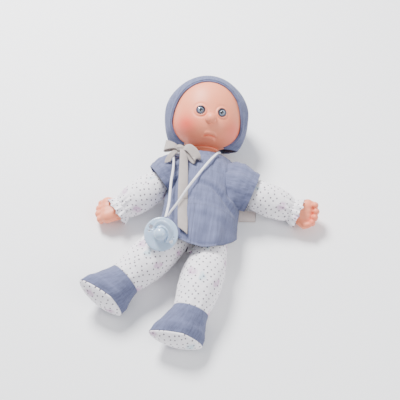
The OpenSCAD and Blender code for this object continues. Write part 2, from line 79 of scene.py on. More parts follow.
def in_scene(name, data):
    """A new object in the scene that holds this mesh, camera or lamp."""
    thing = bpy.data.objects.new(name, data)
    bpy.context.scene.collection.objects.link(thing)
    return thing


def evaluated_mesh(thing):
    """The object's mesh with its modifiers worked out."""
    return bpy.data.meshes.new_from_object(thing.evaluated_get(bpy.context.evaluated_depsgraph_get()))


def once_round(count):
    """Even angles round a full turn, without the last one, which is the first again."""
    return np.linspace(0, 2 * np.pi, count, endpoint=False)


def above_table(P, height):
    """Flattens whatever would sink below this height."""
    P[..., 2] = np.maximum(P[..., 2], height)
    return P


def new_piece(name, verts, faces, uvs=None):
    """verts in millimetres; uvs holds one (u, v) pair for each corner of each face, in millimetres."""
    mesh = bpy.data.meshes.new(name)
    mesh.from_pydata([tuple(p) for p in metres(verts)], [], [tuple(int(i) for i in f) for f in faces])
    if uvs is not None:
        layer = mesh.uv_layers.new(name="cut")
        layer.data.foreach_set("uv", np.asarray(uvs, np.float32).ravel())
    mesh.polygons.foreach_set("use_smooth", [True] * len(mesh.polygons))
    mesh.update()
    return in_scene(name, mesh)


def put_attribute(piece, name, values):
    """One number for each vertex, such as how red the cheek is there."""
    layer = piece.data.attributes.new(name, "FLOAT", "POINT")
    layer.data.foreach_set("value", np.asarray(values, np.float32))


print("one helper makes every mesh; the shift is", SHIFT, "mm")

# %% [markdown]
# ## The camera first
# A doll on a table is looked at from its feet and from above, at about 58 degrees. A 75 mm lens a
# metre away keeps the feet from growing. The camera comes before anything else, because the cords
# have to stay in its view.

# %% Camera
CAMERA_TURN, CAMERA_RISE, CAMERA_REACH = math.radians(7), math.radians(58), 1000
aim_at = np.array([0, 0, 60.0])
towards_camera = np.array([math.sin(CAMERA_TURN) * math.cos(CAMERA_RISE),
                           -math.cos(CAMERA_TURN) * math.cos(CAMERA_RISE), math.sin(CAMERA_RISE)])
camera_data = bpy.data.cameras.new("camera")
camera_data.lens = 75
camera_data.sensor_width = 36
camera = in_scene("camera", camera_data)
camera.location = metres(aim_at + towards_camera * CAMERA_REACH)
camera.rotation_euler = Vector(-towards_camera).to_track_quat("-Z", "Y").to_euler()
bpy.context.scene.camera = camera
print("camera at", [round(v, 3) for v in camera.location])

# %% [markdown]
# ## Shapes made from rows of points
# Sleeves, legs, the tunic and the ribbons are all a sheet of cloth bent round something. A grid of
# points, with rows along the piece and columns round it, describes them all. The same helper gives
# the sheet its thickness: an outer and an inner layer, joined at the edges. The corner normals are
# taken from the whole grid, so a sheet that is split at a joint shows no line at the split.

# %% Grid helpers


def smoothstep(a, b, x):
    t = np.clip((np.asarray(x, float) - a) / (b - a), 0, 1)
    return t * t * (3 - 2 * t)


def grid_normals(P, closed):
    down = np.gradient(P, axis=0)
    if closed:
        round_ = (np.roll(P, -1, 1) - np.roll(P, 1, 1)) / 2
    else:
        round_ = np.gradient(P, axis=1)
    n = np.cross(round_, down)
    length = np.linalg.norm(n, axis=2, keepdims=True)
    return n / np.maximum(length, 1e-9)


def normals_away_from(P, middle):
    n = grid_normals(P, True)
    return n * np.sign((n * (P - middle)).sum())


def grid_quads(rows, cols, closed):
    """The faces of a grid, and for each corner its place (row, column) in the flat layout."""
    faces, spots = [], []
    for i in range(rows - 1):
        for j in range(cols if closed else cols - 1):
            a, b = i * cols + j, i * cols + (j + 1) % cols
            faces.append((a, b, b + cols, a + cols))
            spots.append(((i, j), (i, j + 1), (i + 1, j + 1), (i + 1, j)))
    return faces, spots


def measure_uv(P, closed):
    """Lays the grid out flat, in millimetres, as the cloth was cut."""
    Q = np.concatenate([P, P[:, :1]], 1) if closed else P
    across = np.linalg.norm(np.diff(Q, axis=1), axis=2)
    u = np.concatenate([[0], np.cumsum(across.mean(0))])
    along = np.linalg.norm(np.diff(P, axis=0), axis=2).mean(1)
    v = np.concatenate([[0], np.cumsum(along)])
    return np.stack(np.broadcast_arrays(u[None, :], v[:, None]), 2)


def face_area_vectors(verts, faces):
    V = np.asarray(verts, float)
    F = np.array([f if len(f) == 4 else (*f, f[2]) for f in faces])
    return V[F].mean(1), np.cross(V[F[:, 2]] - V[F[:, 0]], V[F[:, 3]] - V[F[:, 1]])


def solid_grid(name, P, uv=None):
    """A closed body from rings of points; each end is closed by a fan."""
    rows, cols = P.shape[:2]
    UV = measure_uv(P, True) if uv is None else uv
    verts = list(P.reshape(-1, 3))
    faces, spots = grid_quads(rows, cols, True)
    for row, flip in ((0, True), (rows - 1, False)):
        centre = len(verts)
        verts.append(P[row].mean(0))
        for j in range(cols):
            a, b = row * cols + j, row * cols + (j + 1) % cols
            faces.append((b, a, centre) if flip else (a, b, centre))
            spots.append(((row, j),) * 3)
    middle, area = face_area_vectors(verts, faces)
    if (middle * area).sum() < 0:
        faces = [f[::-1] for f in faces]
        spots = [s[::-1] for s in spots]
    uvs = [UV[i, j] for s in spots for i, j in s]
    return new_piece(name, verts, faces, uvs)


def sheet_grid(name, P, N, thick, closed=True, uv=None):
    """A sheet of cloth with its own thickness, on the inner side of P."""
    rows, cols = P.shape[:2]
    UV = measure_uv(P, closed) if uv is None else uv
    n = rows * cols
    verts = np.concatenate([P.reshape(-1, 3), (P - thick * N).reshape(-1, 3)])
    flat_n = N.reshape(-1, 3)
    faces, spots = grid_quads(rows, cols, closed)
    area = face_area_vectors(verts, faces)[1]
    flip = (area * flat_n[[f[0] for f in faces]]).sum() < 0
    inner = [tuple(i + n for i in f[::-1]) for f in faces]
    faces, spots = faces + inner, spots + [s[::-1] for s in spots]
    normals = [[flat_n[i] if i < n else -flat_n[i - n] for i in f] for f in faces]
    rim = []
    for i, back in ((0, True), (rows - 1, False)):
        for j in range(cols if closed else cols - 1):
            q = (i * cols + j, i * cols + (j + 1) % cols)
            q = (*q, q[1] + n, q[0] + n)
            rim.append((q[::-1] if back else q, (i, j)))
    for j, back in () if closed else ((0, False), (cols - 1, True)):
        for i in range(rows - 1):
            q = (i * cols + j, (i + 1) * cols + j)
            q = (*q, q[1] + n, q[0] + n)
            rim.append((q[::-1] if back else q, (i, j)))
    for q, spot in rim:
        q = q[::-1]
        faces.append(q)
        spots.append((spot,) * 4)
        side = np.cross(verts[q[2]] - verts[q[0]], verts[q[3]] - verts[q[1]])
        side = side / (np.linalg.norm(side) + 1e-9) * (-1 if flip else 1)
        normals.append([side] * 4)
    if flip:
        faces = [f[::-1] for f in faces]
        spots = [s[::-1] for s in spots]
        normals = [m[::-1] for m in normals]
    uvs = [UV[i, j] for s in spots for i, j in s]
    piece = new_piece(name, verts, faces, uvs)
    piece.data.normals_split_custom_set([tuple(v) for m in normals for v in m])
    return piece


def hoop(name, P):
    """A closed tube from rings of points, with the last ring joined to the first."""
    n, m = P.shape[:2]
    faces = [(i * m + j, i * m + (j + 1) % m, (i + 1) % n * m + (j + 1) % m, (i + 1) % n * m + j)
             for i in range(n) for j in range(m)]
    return new_piece(name, P.reshape(-1, 3), faces)


print("helpers: a solid from rings, a sheet with thickness, and a hoop")

# %% [markdown]
# ## Cloth, print and vinyl
# Three finishes carry the look. Muslin is two thin layers of gauze, which shrink apart when they
# are washed and leave long fine crinkles. The jersey is smooth, white, and printed with dots and
# soft watercolour blotches. The vinyl is matte and a little uneven, with blush sprayed on.
# A pattern that follows the cloth reads the piece's own flat layout, "cut", in millimetres.
# What more than one finish needs is a shader group.

# %% Small helpers for shader trees


def add(tree, kind, feeds=None, **settings):
    node = tree.nodes.new(kind)
    for key, value in settings.items():
        setattr(node, key, value)
    for key, value in (feeds or {}).items():
        if isinstance(value, bpy.types.NodeSocket):
            tree.links.new(value, node.inputs[key])
        else:
            node.inputs[key].default_value = value
    return node


def cut_layout(tree):
    """Where a point lies on the flat cloth, in millimetres."""
    return add(tree, "ShaderNodeUVMap", uv_map="cut").outputs["UV"]


def placed(tree, group, **values):
    """A shader group with its own values."""
    feeds = {key.replace("_", " "): value for key, value in values.items()}
    return add(tree, "ShaderNodeGroup", feeds, node_tree=group)


def new_finish(name, color, roughness, **constants):
    material = bpy.data.materials.new(name)
    material.use_nodes = True
    tree = material.node_tree
    shader = tree.nodes["Principled BSDF"]
    shader.inputs["Base Color"].default_value = (*color, 1)
    shader.inputs["Roughness"].default_value = roughness
    for key, value in constants.items():
        shader.inputs[key.replace("_", " ")].default_value = value
    return material, tree, shader


def new_group(name, inputs, outputs):
    group = bpy.data.node_groups.new(name, "ShaderNodeTree")
    for label, kind, value in inputs:
        socket = group.interface.new_socket(label, in_out="INPUT", socket_type=kind)
        socket.default_value = value
    for label, kind in outputs:
        group.interface.new_socket(label, in_out="OUTPUT", socket_type=kind)
    return group, group.nodes.new("NodeGroupInput"), group.nodes.new("NodeGroupOutput")


def maths(tree, operation, a, b=0.0, clamp=False):
    return add(tree, "ShaderNodeMath", {0: a, 1: b}, operation=operation, use_clamp=clamp).outputs[0]


def soft_mask(tree, value, low, high):
    """1 where value is under low, 0 over high."""
    return add(tree, "ShaderNodeMapRange", {"Value": value, "From Min": low, "From Max": high,
                                            "To Min": 1.0, "To Max": 0.0}, clamp=True).outputs["Result"]


def mixed(tree, amount, a, b, kind="MIX"):
    node = tree.nodes.new("ShaderNodeMix")
    node.data_type = "RGBA"
    node.blend_type = kind
    for index, value in ((0, amount), (6, a), (7, b)):
        if isinstance(value, bpy.types.NodeSocket):
            tree.links.new(value, node.inputs[index])
        else:
            node.inputs[index].default_value = value if index == 0 else (*value, 1)
    return node.outputs[2]


def bumped(tree, shader, height, strength, distance):
    bump = add(tree, "ShaderNodeBump", {"Height": height, "Strength": strength, "Distance": distance})
    tree.links.new(bump.outputs["Normal"], shader.inputs["Normal"])


# %% Shader groups: woven threads with crinkles, and a quiet mottling
weave, w_in, w_out = new_group("gauze weave",
                               [("Thread", "NodeSocketFloat", 0.55), ("Crinkle", "NodeSocketFloat", 2.4),
                                ("Crinkle Depth", "NodeSocketFloat", 1.0)],
                               [("Height", "NodeSocketFloat"), ("Shade", "NodeSocketFloat")])
xyz = add(weave, "ShaderNodeSeparateXYZ", {"Vector": cut_layout(weave)})
turns = maths(weave, "DIVIDE", 6.2832, w_in.outputs["Thread"])
warp = maths(weave, "SINE", maths(weave, "MULTIPLY", xyz.outputs["X"], turns))
weft = maths(weave, "SINE", maths(weave, "MULTIPLY", xyz.outputs["Y"], turns))
threads = maths(weave, "MULTIPLY", warp, weft)
thin = maths(weave, "DIVIDE", xyz.outputs["X"], w_in.outputs["Crinkle"])
long_ = maths(weave, "DIVIDE", xyz.outputs["Y"], maths(weave, "MULTIPLY", w_in.outputs["Crinkle"], 6.0))
crinkle_at = add(weave, "ShaderNodeCombineXYZ", {"X": thin, "Y": long_})
crinkle = add(weave, "ShaderNodeTexNoise", {"Vector": crinkle_at.outputs[0], "Scale": 1.0, "Detail": 3.0,
                                            "Roughness": 0.6, "Distortion": 0.4})
across_thin = maths(weave, "DIVIDE", xyz.outputs["Y"], w_in.outputs["Crinkle"])
cross_at = add(weave, "ShaderNodeCombineXYZ", {"X": long_, "Y": across_thin})
cross_lines = add(weave, "ShaderNodeTexNoise", {"Vector": cross_at.outputs[0], "Scale": 0.55, "Detail": 2.0})
crosswise = maths(weave, "MULTIPLY", cross_lines.outputs["Fac"], 0.35)
both_ways = maths(weave, "ADD", crinkle.outputs["Fac"], crosswise)
crinkled = maths(weave, "MULTIPLY", both_ways, w_in.outputs["Crinkle Depth"])
# Shade is painted shade: low where the crinkles and threads dip, high on their ridges.
for output, crinkle_share, thread_share in (("Height", 1.0, 0.06), ("Shade", 0.8, 0.05)):
    summed = maths(weave, "ADD", maths(weave, "MULTIPLY", crinkled, crinkle_share),
                   maths(weave, "MULTIPLY", threads, thread_share))
    weave.links.new(summed, w_out.inputs[output])

mottle, m_in, m_out = new_group("mottle", [("Size", "NodeSocketFloat", 0.004)],
                                [("Height", "NodeSocketFloat"), ("Shade", "NodeSocketFloat")])
place = add(mottle, "ShaderNodeTexCoord").outputs["Object"]
finer = maths(mottle, "DIVIDE", 1.0, m_in.outputs["Size"])
broad = add(mottle, "ShaderNodeTexNoise", {"Vector": place, "Scale": finer, "Detail": 2.0})
fine = add(mottle, "ShaderNodeTexNoise", {"Vector": place, "Scale": maths(mottle, "MULTIPLY", finer, 9.0),
                                          "Detail": 2.0})
mottle.links.new(fine.outputs["Fac"], m_out.inputs["Height"])
mottle.links.new(broad.outputs["Fac"], m_out.inputs["Shade"])
print("groups:", weave.name, "and", mottle.name)

# %% [markdown]
# ## Finishes for the cloth
# Muslin is blue-grey. The crinkle drives both the bump and a painted shade in the colour, darker in
# its hollows and lighter on its ridges. Hems are the same cloth in more layers, with a flatter crinkle.
# The jersey's dots are a loose square lattice, and its blotches are bigger, fewer and blurred.

# %% Cloth finishes


def muslin_finish(name, color, crinkle=2.4, depth=1.0):
    material, tree, shader = new_finish(name, color, 0.9, Sheen_Weight=0.08, Sheen_Roughness=0.5)
    cloth = placed(tree, weave, Crinkle=crinkle, Crinkle_Depth=depth)
    # Painted shade and light: the crinkle's hollows get the darker colour, its ridges the lighter one.
    dark = tuple(0.70 * c for c in color)
    light = tuple(min(1, 1.22 * c) for c in color)
    shade = add(tree, "ShaderNodeMapRange", {"Value": cloth.outputs["Shade"], "From Min": 0.32 * depth,
                                             "From Max": 0.74 * depth}, clamp=True)
    tree.links.new(mixed(tree, shade.outputs["Result"], dark, light), shader.inputs["Base Color"])
    bumped(tree, shader, cloth.outputs["Height"], 0.7, 0.0011)
    return material


DOT_EVERY, BLOT_EVERY = 6.1, 33.0


def jersey_finish(name):
    white = (0.86, 0.83, 0.86)
    material, tree, shader = new_finish(name, white, 0.88, Sheen_Weight=0.2, Sheen_Roughness=0.5)
    flat = cut_layout(tree)
    turned_ = add(tree, "ShaderNodeMapping", {"Vector": flat, "Rotation": (0, 0, 0.5),
                                              "Location": (3.1, 1.7, 0)}).outputs[0]
    spots = add(tree, "ShaderNodeTexVoronoi", {"Vector": turned_, "Scale": 1 / DOT_EVERY, "Randomness": 0.42},
                voronoi_dimensions="2D")
    spot = soft_mask(tree, spots.outputs["Distance"], 0.13, 0.17)
    stir = add(tree, "ShaderNodeTexNoise", {"Vector": flat, "Scale": 0.13, "Detail": 3.0},
               noise_dimensions="2D")
    bent = add(tree, "ShaderNodeVectorMath", {0: stir.outputs["Color"], 1: (9.0, 9.0, 0.0)},
               operation="MULTIPLY")
    bent = add(tree, "ShaderNodeVectorMath", {0: bent.outputs[0], 1: flat}, operation="ADD")
    blots = add(tree, "ShaderNodeTexVoronoi", {"Vector": bent.outputs[0], "Scale": 1 / BLOT_EVERY,
                                               "Randomness": 0.75}, voronoi_dimensions="2D")
    blot = soft_mask(tree, blots.outputs["Distance"], 0.09, 0.2)
    wash = add(tree, "ShaderNodeTexNoise", {"Vector": flat, "Scale": 0.3, "Detail": 3.0},
               noise_dimensions="2D")
    blot = maths(tree, "MULTIPLY", blot, maths(tree, "MULTIPLY", wash.outputs["Fac"], 1.25), clamp=True)
    which = add(tree, "ShaderNodeSeparateColor", {"Color": blots.outputs["Color"]})
    is_pink = maths(tree, "GREATER_THAN", which.outputs[0], 0.42)
    paint = mixed(tree, is_pink, (0.42, 0.60, 0.68), (0.52, 0.27, 0.47))
    ground = mixed(tree, wash.outputs["Fac"], (0.80, 0.77, 0.81), (0.93, 0.90, 0.92))
    printed = mixed(tree, blot, ground, paint)
    printed = mixed(tree, maths(tree, "MULTIPLY", spot, 0.92), printed, (0.05, 0.03, 0.065))
    tree.links.new(printed, shader.inputs["Base Color"])
    knit = placed(tree, weave, Thread=0.8, Crinkle=7.0, Crinkle_Depth=0.5)
    bumped(tree, shader, knit.outputs["Height"], 0.45, 0.001)
    return material


def ribbon_finish():
    material, tree, shader = new_finish("taupe ribbon", (0.33, 0.285, 0.27), 0.6, Sheen_Weight=0.3)
    flat = cut_layout(tree)
    ribs = add(tree, "ShaderNodeTexWave", {"Vector": flat, "Scale": 0.42, "Distortion": 0.6, "Detail": 1.0,
                                           "Detail Scale": 0.3}, wave_type="BANDS", bands_direction="Y")
    stain = add(tree, "ShaderNodeTexNoise", {"Vector": flat, "Scale": 0.09, "Detail": 3.0})
    color = mixed(tree, stain.outputs["Fac"], (0.25, 0.21, 0.195), (0.42, 0.365, 0.34))
    color = mixed(tree, maths(tree, "MULTIPLY", ribs.outputs["Fac"], 0.18), color, (0.62, 0.57, 0.55))
    tree.links.new(color, shader.inputs["Base Color"])
    bumped(tree, shader, ribs.outputs["Fac"], 0.4, 0.0004)
    return material


def satin_finish(name, color, roughness):
    material, tree, shader = new_finish(name, color, roughness, Coat_Weight=0.15, Coat_Roughness=0.3)
    flat = cut_layout(tree)
    floats = add(tree, "ShaderNodeTexWave", {"Vector": flat, "Scale": 0.7, "Distortion": 0.3},
                 wave_type="BANDS", bands_direction="Y")
    dim = tuple(0.86 * c for c in color)
    tree.links.new(mixed(tree, floats.outputs["Fac"], dim, color), shader.inputs["Base Color"])
    bumped(tree, shader, floats.outputs["Fac"], 0.25, 0.0003)
    return material


def plain_finish(name, color, roughness, size=0.004, spread=0.08, depth=0.0001, **constants):
    """Moulded, printed or woven stock with a quiet unevenness in its colour, gloss and surface."""
    material, tree, shader = new_finish(name, color, roughness, **constants)
    uneven = placed(tree, mottle, Size=size)
    low = tuple((1 - spread) * c for c in color)
    high = tuple(min(1, (1 + spread) * c) for c in color)
    tree.links.new(mixed(tree, uneven.outputs["Shade"], low, high), shader.inputs["Base Color"])
    rough = add(tree, "ShaderNodeMapRange", {"Value": uneven.outputs["Height"], "To Min": roughness - 0.06,
                                             "To Max": roughness + 0.06}, clamp=True)
    tree.links.new(rough.outputs["Result"], shader.inputs["Roughness"])
    bumped(tree, shader, uneven.outputs["Height"], 0.3, depth)
    return material


muslin = muslin_finish("blue muslin", (0.125, 0.14, 0.245))
muslin_hem = muslin_finish("muslin hem", (0.125, 0.14, 0.25), 3.2, 0.6)
jersey = jersey_finish("printed jersey")
ribbon_cloth = ribbon_finish()
satin = satin_finish("white satin cord", (0.84, 0.82, 0.86), 0.42)
thread = plain_finish("blue sewing thread", (0.12, 0.14, 0.27), 0.8, size=0.001, Sheen_Weight=0.3)
white_thread = plain_finish("white tying thread", (0.8, 0.79, 0.8), 0.8, size=0.001)
filling = plain_finish("polyester filling", (0.9, 0.9, 0.9), 0.95, size=0.003, depth=0.0012)
label_cloth = plain_finish("cream label cloth", (0.83, 0.72, 0.66), 0.85, size=0.006, spread=0.12,
                           depth=0.0002)
print("cloth finishes:", muslin.name, jersey.name, ribbon_cloth.name, satin.name)

# %% [markdown]
# ## Finishes for the hard and soft plastics
# Head and hands are cast in soft vinyl. The maker sprays the cheeks and the fingertips with blush,
# so its strength is an attribute on the mesh. The eyes are one piece each, painted from the middle
# outwards: pupil, iris and a dark rim. Their clear coat gives the wet highlight.

# %% Vinyl, eyes and plastics


def vinyl_finish():
    material, tree, shader = new_finish("peach vinyl", (0.82, 0.27, 0.14), 0.5, Subsurface_Weight=0.06,
                                        Subsurface_Scale=0.003, Coat_Weight=0.04, Coat_Roughness=0.5)
    shader.inputs["Subsurface Radius"].default_value = (1.0, 0.35, 0.2)
    uneven = placed(tree, mottle, Size=0.016)
    skin = mixed(tree, uneven.outputs["Shade"], (0.82, 0.245, 0.125), (0.88, 0.30, 0.165))
    for attribute, paint in (("blush", (0.72, 0.06, 0.035)), ("lash", (0.035, 0.022, 0.03))):
        strength = add(tree, "ShaderNodeAttribute", attribute_name=attribute).outputs["Fac"]
        skin = mixed(tree, strength, skin, paint)
    tree.links.new(skin, shader.inputs["Base Color"])
    bumped(tree, shader, uneven.outputs["Height"], 0.12, 0.0002)
    return material


PUPIL_R, IRIS_R = 2.0, 3.7


def eye_finish():
    material, tree, shader = new_finish("painted eye", (0.8, 0.85, 0.9), 0.12, Coat_Weight=1.0,
                                        Coat_Roughness=0.03)
    flat = cut_layout(tree)
    out = add(tree, "ShaderNodeVectorMath", {0: flat}, operation="LENGTH").outputs["Value"]
    xyz_ = add(tree, "ShaderNodeSeparateXYZ", {"Vector": flat})
    round_ = maths(tree, "ARCTAN2", xyz_.outputs["Y"], xyz_.outputs["X"])
    spokes = add(tree, "ShaderNodeCombineXYZ", {"X": maths(tree, "MULTIPLY", round_, 5.0),
                                                "Y": maths(tree, "MULTIPLY", out, 0.5)})
    streaks = add(tree, "ShaderNodeTexNoise", {"Vector": spokes.outputs[0], "Scale": 1.6, "Detail": 3.0})
    iris = mixed(tree, streaks.outputs["Fac"], (0.10, 0.14, 0.21), (0.32, 0.39, 0.48))
    color = mixed(tree, soft_mask(tree, out, IRIS_R, IRIS_R + 0.4), (0.05, 0.055, 0.09), iris)
    color = mixed(tree, soft_mask(tree, out, PUPIL_R, PUPIL_R + 0.4), color, (0.006, 0.006, 0.012))
    tree.links.new(color, shader.inputs["Base Color"])
    return material


vinyl = vinyl_finish()
painted_eye = eye_finish()
lash_paint = plain_finish("brown lash line", (0.05, 0.032, 0.045), 0.35, size=0.002, spread=0.3)
pacifier_plastic = plain_finish("pale blue plastic", (0.40, 0.52, 0.68), 0.24, size=0.02, spread=0.04,
                                depth=0.00004, Coat_Weight=0.4, Coat_Roughness=0.12,
                                Subsurface_Weight=0.08, Subsurface_Scale=0.002)
white_plastic = plain_finish("white moulded plastic", (0.82, 0.82, 0.82), 0.45)
grey_plastic = plain_finish("grey button plastic", (0.6, 0.6, 0.66), 0.4)
black_plastic = plain_finish("black moulded plastic", (0.03, 0.03, 0.035), 0.45)
board_green = plain_finish("green circuit board", (0.02, 0.2, 0.08), 0.35, size=0.002, spread=0.3)
cell_wrap = plain_finish("battery wrap", (0.5, 0.33, 0.12), 0.35, size=0.01, Metallic=0.5)
steel = plain_finish("plated steel", (0.6, 0.6, 0.62), 0.3, size=0.002, Metallic=1.0)
red_lead = plain_finish("red insulation", (0.5, 0.04, 0.04), 0.5)
tape_loops = plain_finish("hook and loop tape", (0.75, 0.72, 0.68), 0.95, size=0.0008, spread=0.2, depth=0.0005)
print("plastics:", vinyl.name, painted_eye.name, pacifier_plastic.name)

# %% [markdown]
# ## What stays hidden
# The sound module, its button and switches, the filling and the sensor are under the cloth. Their
# solids are already the right shape, so each one only gets its own finish.

# %% Finishes for the pieces inside
inside = {
    white_plastic: ["module_base", "module_lid", "battery_cover", "neck_plug"],
    grey_plastic: ["tummy_button"],
    black_plastic: ["speaker", "tact_switch", "switch_block", "power_slider"],
    board_green: ["circuit_board", "mouth_sensor"], cell_wrap: ["batteries"],
    steel: ["battery_springs", "battery_screw", "mouth_magnet"], red_lead: ["sensor_lead"],
    tape_loops: ["back_fastener", "tunic_fastener"],
    white_thread: ["neck_tie", "wrist_tie_left", "wrist_tie_right"],
    filling: ["torso_stuffing", "arm_stuffing_left", "arm_stuffing_right", "leg_stuffing_left",
              "leg_stuffing_right"],
}
for material, names in inside.items():
    for name in names:
        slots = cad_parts[name].data.materials
        if len(slots) == 0:
            slots.append(material)
        for k in range(len(slots)):
            slots[k] = material
print(sum(len(v) for v in inside.values()), "hidden pieces have their finish")


def finish_piece(piece, material, body, replaced):
    """Paints a piece, lets it ride on its body and hides the solids that it stands for."""
    piece.data.materials.append(material)
    if body:
        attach(piece, body)
    if replaced:
        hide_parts(*replaced)
    print(f"{piece.name}: {len(piece.data.polygons)} faces")
    return piece

# %% [markdown]
# ## The satin cord
# The pacifier hangs on a flat satin ribbon, tied in a loop round the neck. It runs in three parts:
# one behind the neck, which stays on the body, and two strands that swing with the pacifier. It is a
# tape, so it twists on its way down. We sweep a flat ring along a smooth curve through the route's
# points.

# %% Smooth routes and tapes


def smooth_route(points, per_leg):
    """A Catmull-Rom curve through the points."""
    p = np.asarray(points, float)
    p = np.concatenate([[2 * p[0] - p[1]], p, [2 * p[-1] - p[-2]]])
    out = []
    for i in range(1, len(p) - 2):
        for t in np.arange(per_leg) / per_leg:
            a, b, c, d = p[i - 1:i + 3]
            out.append(0.5 * (2 * b + (c - a) * t + (2 * a - 5 * b + 4 * c - d) * t * t
                              + (3 * b - a - 3 * c + d) * t ** 3))
    out.append(p[-2])
    return np.array(out)


def tape(name, route, width, thick, twist, facing):
    """A flat tape along a route; twist gives its turn about the route at each end, in degrees."""
    along = np.gradient(route, axis=0)
    rings = []
    corners = [(1, 0), (0.9, 1), (0, 1), (-0.9, 1), (-1, 0), (-0.9, -1), (0, -1), (0.9, -1)]
    up = np.broadcast_to(np.asarray(facing, float), route.shape)
    for i, p in enumerate(route):
        t = unit(along[i])
        side = unit(np.cross(t, up[i]))
        top = np.cross(side, t)
        a = math.radians(twist[0] + (twist[1] - twist[0]) * i / (len(route) - 1))
        flat_ = math.cos(a) * side + math.sin(a) * top
        stand = -math.sin(a) * side + math.cos(a) * top
        rings.append([p + u * width / 2 * flat_ + v * thick / 2 * stand for u, v in corners])
    return solid_grid(name, np.array(rings))


def run_length(route):
    return float(np.linalg.norm(np.diff(route, axis=0), axis=1).sum())


# %% The cord: a loop round the neck and two strands
CORD_WIDTH, CORD_THICK = 2.9, 0.5
behind_neck = np.array([-7, 84, 30])
cord_runs = {
    "neck_cord_loop": ("torso", (0, 0), [
        [-40, 66.5, 54.5], [-34, 73, 46.8], [-32, 83, 41], [-29, 90, 31], [-26, 94, 22], [-21, 97.5, 16],
        [-14, 99.5, 12], [-7, 100, 11], [0, 99.5, 12], [7, 97.5, 16], [12, 94, 22], [15, 90, 31],
        [16, 84, 42], [15, 78, 51], [13, 73, 57]]),
    "cord_strand_right": ("neck_cord", (35, -20), [
        [-40.4, 66, 55.2], [-40.6, 61, 58], [-39, 52, 59.5], [-38, 38, 61], [-38, 22, 61], [-37, 6, 62],
        [-36, -10, 64], [-36, -22, 67], [-36, -31, 71], [-36, -37, 75]]),
    "cord_strand_left": ("neck_cord", (-15, 70), [
        [13, 73, 57], [11, 68, 60], [7, 59, 64], [1, 46, 66.5], [-8, 27, 68], [-17, 8, 68.5],
        [-25, -12, 69], [-30, -24, 71], [-32, -31, 74], [-33, -37, 77.5]]),
}
for name, (body, twist, points) in cord_runs.items():
    route = smooth_route(points, 5)
    facing = route - behind_neck if name == "neck_cord_loop" else (0, 0, 1)
    piece = tape(name + "_satin", route, CORD_WIDTH, CORD_THICK, twist, facing)
    finish_piece(piece, satin, body, [name])
    print(name, round(run_length(route)), "mm")

# %% [markdown]
# ## The head
# A vinyl head is cast in one piece: a pear that is fullest at the cheeks, with a neck to tie the
# cloth to. It could be sculpted by hand, but a rule is easier to read. We draw the pear as a grid,
# denser at the face, then push its points in and out: a ball for the nose, sockets for the eyes,
# a short slit for the mouth. The blush and the lash line go onto the mesh as attributes.

# %% Head and face frames
HEAD_C = np.array([-7.0, 137.0, 53.0])
HEAD_TILT, FACE_TURN = math.radians(26 - 90), math.radians(10)
HEAD_R, WIDEST_Z, CROWN_UP, CHIN_DOWN = 45.5, -14, 58.5, 34
EYE_X, EYE_Y, EYE_Z, EYE_R = 13.5, -36.3, -6.0, 7.7
NOSE_Y, NOSE_Z, NOSE_R = -47.2, -15.5, 6.9


def head_place(p, turn=0.0):
    """From the head's frame (+Z crown, -Y out of the face) to the doll's."""
    p = np.asarray(p, float)
    x, y, z = p[..., 0], p[..., 1], p[..., 2]
    x, y = x * math.cos(turn) - y * math.sin(turn), x * math.sin(turn) + y * math.cos(turn)
    y, z = y * math.cos(HEAD_TILT) - z * math.sin(HEAD_TILT), y * math.sin(HEAD_TILT) + z * math.cos(HEAD_TILT)
    return np.stack([x, y, z], -1) + HEAD_C


def swell(s, half, r, power):
    return r * np.maximum(0, 1 - (np.abs(s) / half) ** power) ** (1 / power)


def bump_at(x, z, cx, cz, size, stretch=1.0):
    return np.exp(-(((x - cx) / stretch) ** 2 + (z - cz) ** 2) / (2 * size ** 2))


# %% Sculpt the head
rows_up, rows_down, cols = 130, 76, 240
above = CROWN_UP * np.sin(np.radians(90 * (1 - np.arange(1, rows_up) / rows_up)))
below = CHIN_DOWN * np.sin(np.radians(np.linspace(0, 72.5, rows_down)))
neck_z = [-47.2, -48.6, -50.5, -53, -54.2, -56, -57.4, -60, -62]
neck_r = [19.5, 17, 16.2, 16, 14.8, 14.8, 16, 16, 15.4]
z_rows = np.concatenate([WIDEST_Z + above, WIDEST_Z - below, neck_z])
r_rows = np.concatenate([swell(above, CROWN_UP, HEAD_R, 2.2), swell(below, CHIN_DOWN, HEAD_R, 2.3), neck_r])
t = np.linspace(-1, 1, cols, endpoint=False)
round_angle = math.pi * (0.45 * t + 0.55 * t ** 3)
x = r_rows[:, None] * np.sin(round_angle)[None]
y = -r_rows[:, None] * np.cos(round_angle)[None]
z = np.broadcast_to(z_rows[:, None], x.shape).copy()
front = (y < -8)
push = 1.3 * bump_at(x, z, 24, -25, 9) + 1.3 * bump_at(x, z, -24, -25, 9)
push += 1.0 * bump_at(x, z, 0, -43, 4.5, 1.6) - 0.5 * bump_at(x, z, 0, -2, 5)
mouth_x = 2.0
mouth_z = -35.4 - 0.022 * (x - mouth_x) ** 2 - 0.06 * (x - mouth_x)
mouth_on = 1 - smoothstep(6.0, 9.0, np.abs(x - mouth_x))
push -= 1.9 * np.exp(-((z - mouth_z) / 0.75) ** 2) * mouth_on
push += 1.1 * np.exp(-((z - mouth_z - 2.6) / 1.9) ** 2) * mouth_on
push += 1.5 * np.exp(-((z - mouth_z + 2.9) / 2.1) ** 2) * (1 - smoothstep(3.5, 9, np.abs(x - mouth_x)))
push -= 1.3 * bump_at(x, z, mouth_x + 8.2, -38.2, 1.6) + 0.5 * bump_at(x, z, mouth_x - 8.0, -36.0, 1.4)
eye_far = np.minimum(np.hypot(x - EYE_X, z - EYE_Z), np.hypot(x + EYE_X, z - EYE_Z))
push += 0.75 * np.exp(-((eye_far - 6.4) / 0.9) ** 2) - 0.5 * np.exp(-((eye_far - 8.6) / 1.6) ** 2)
y = np.where(front, y - push, y)
nose_far = np.hypot(x, (z - NOSE_Z) * 1.03)
ball = NOSE_Y - np.sqrt(np.maximum(NOSE_R ** 2 - nose_far ** 2, 0))
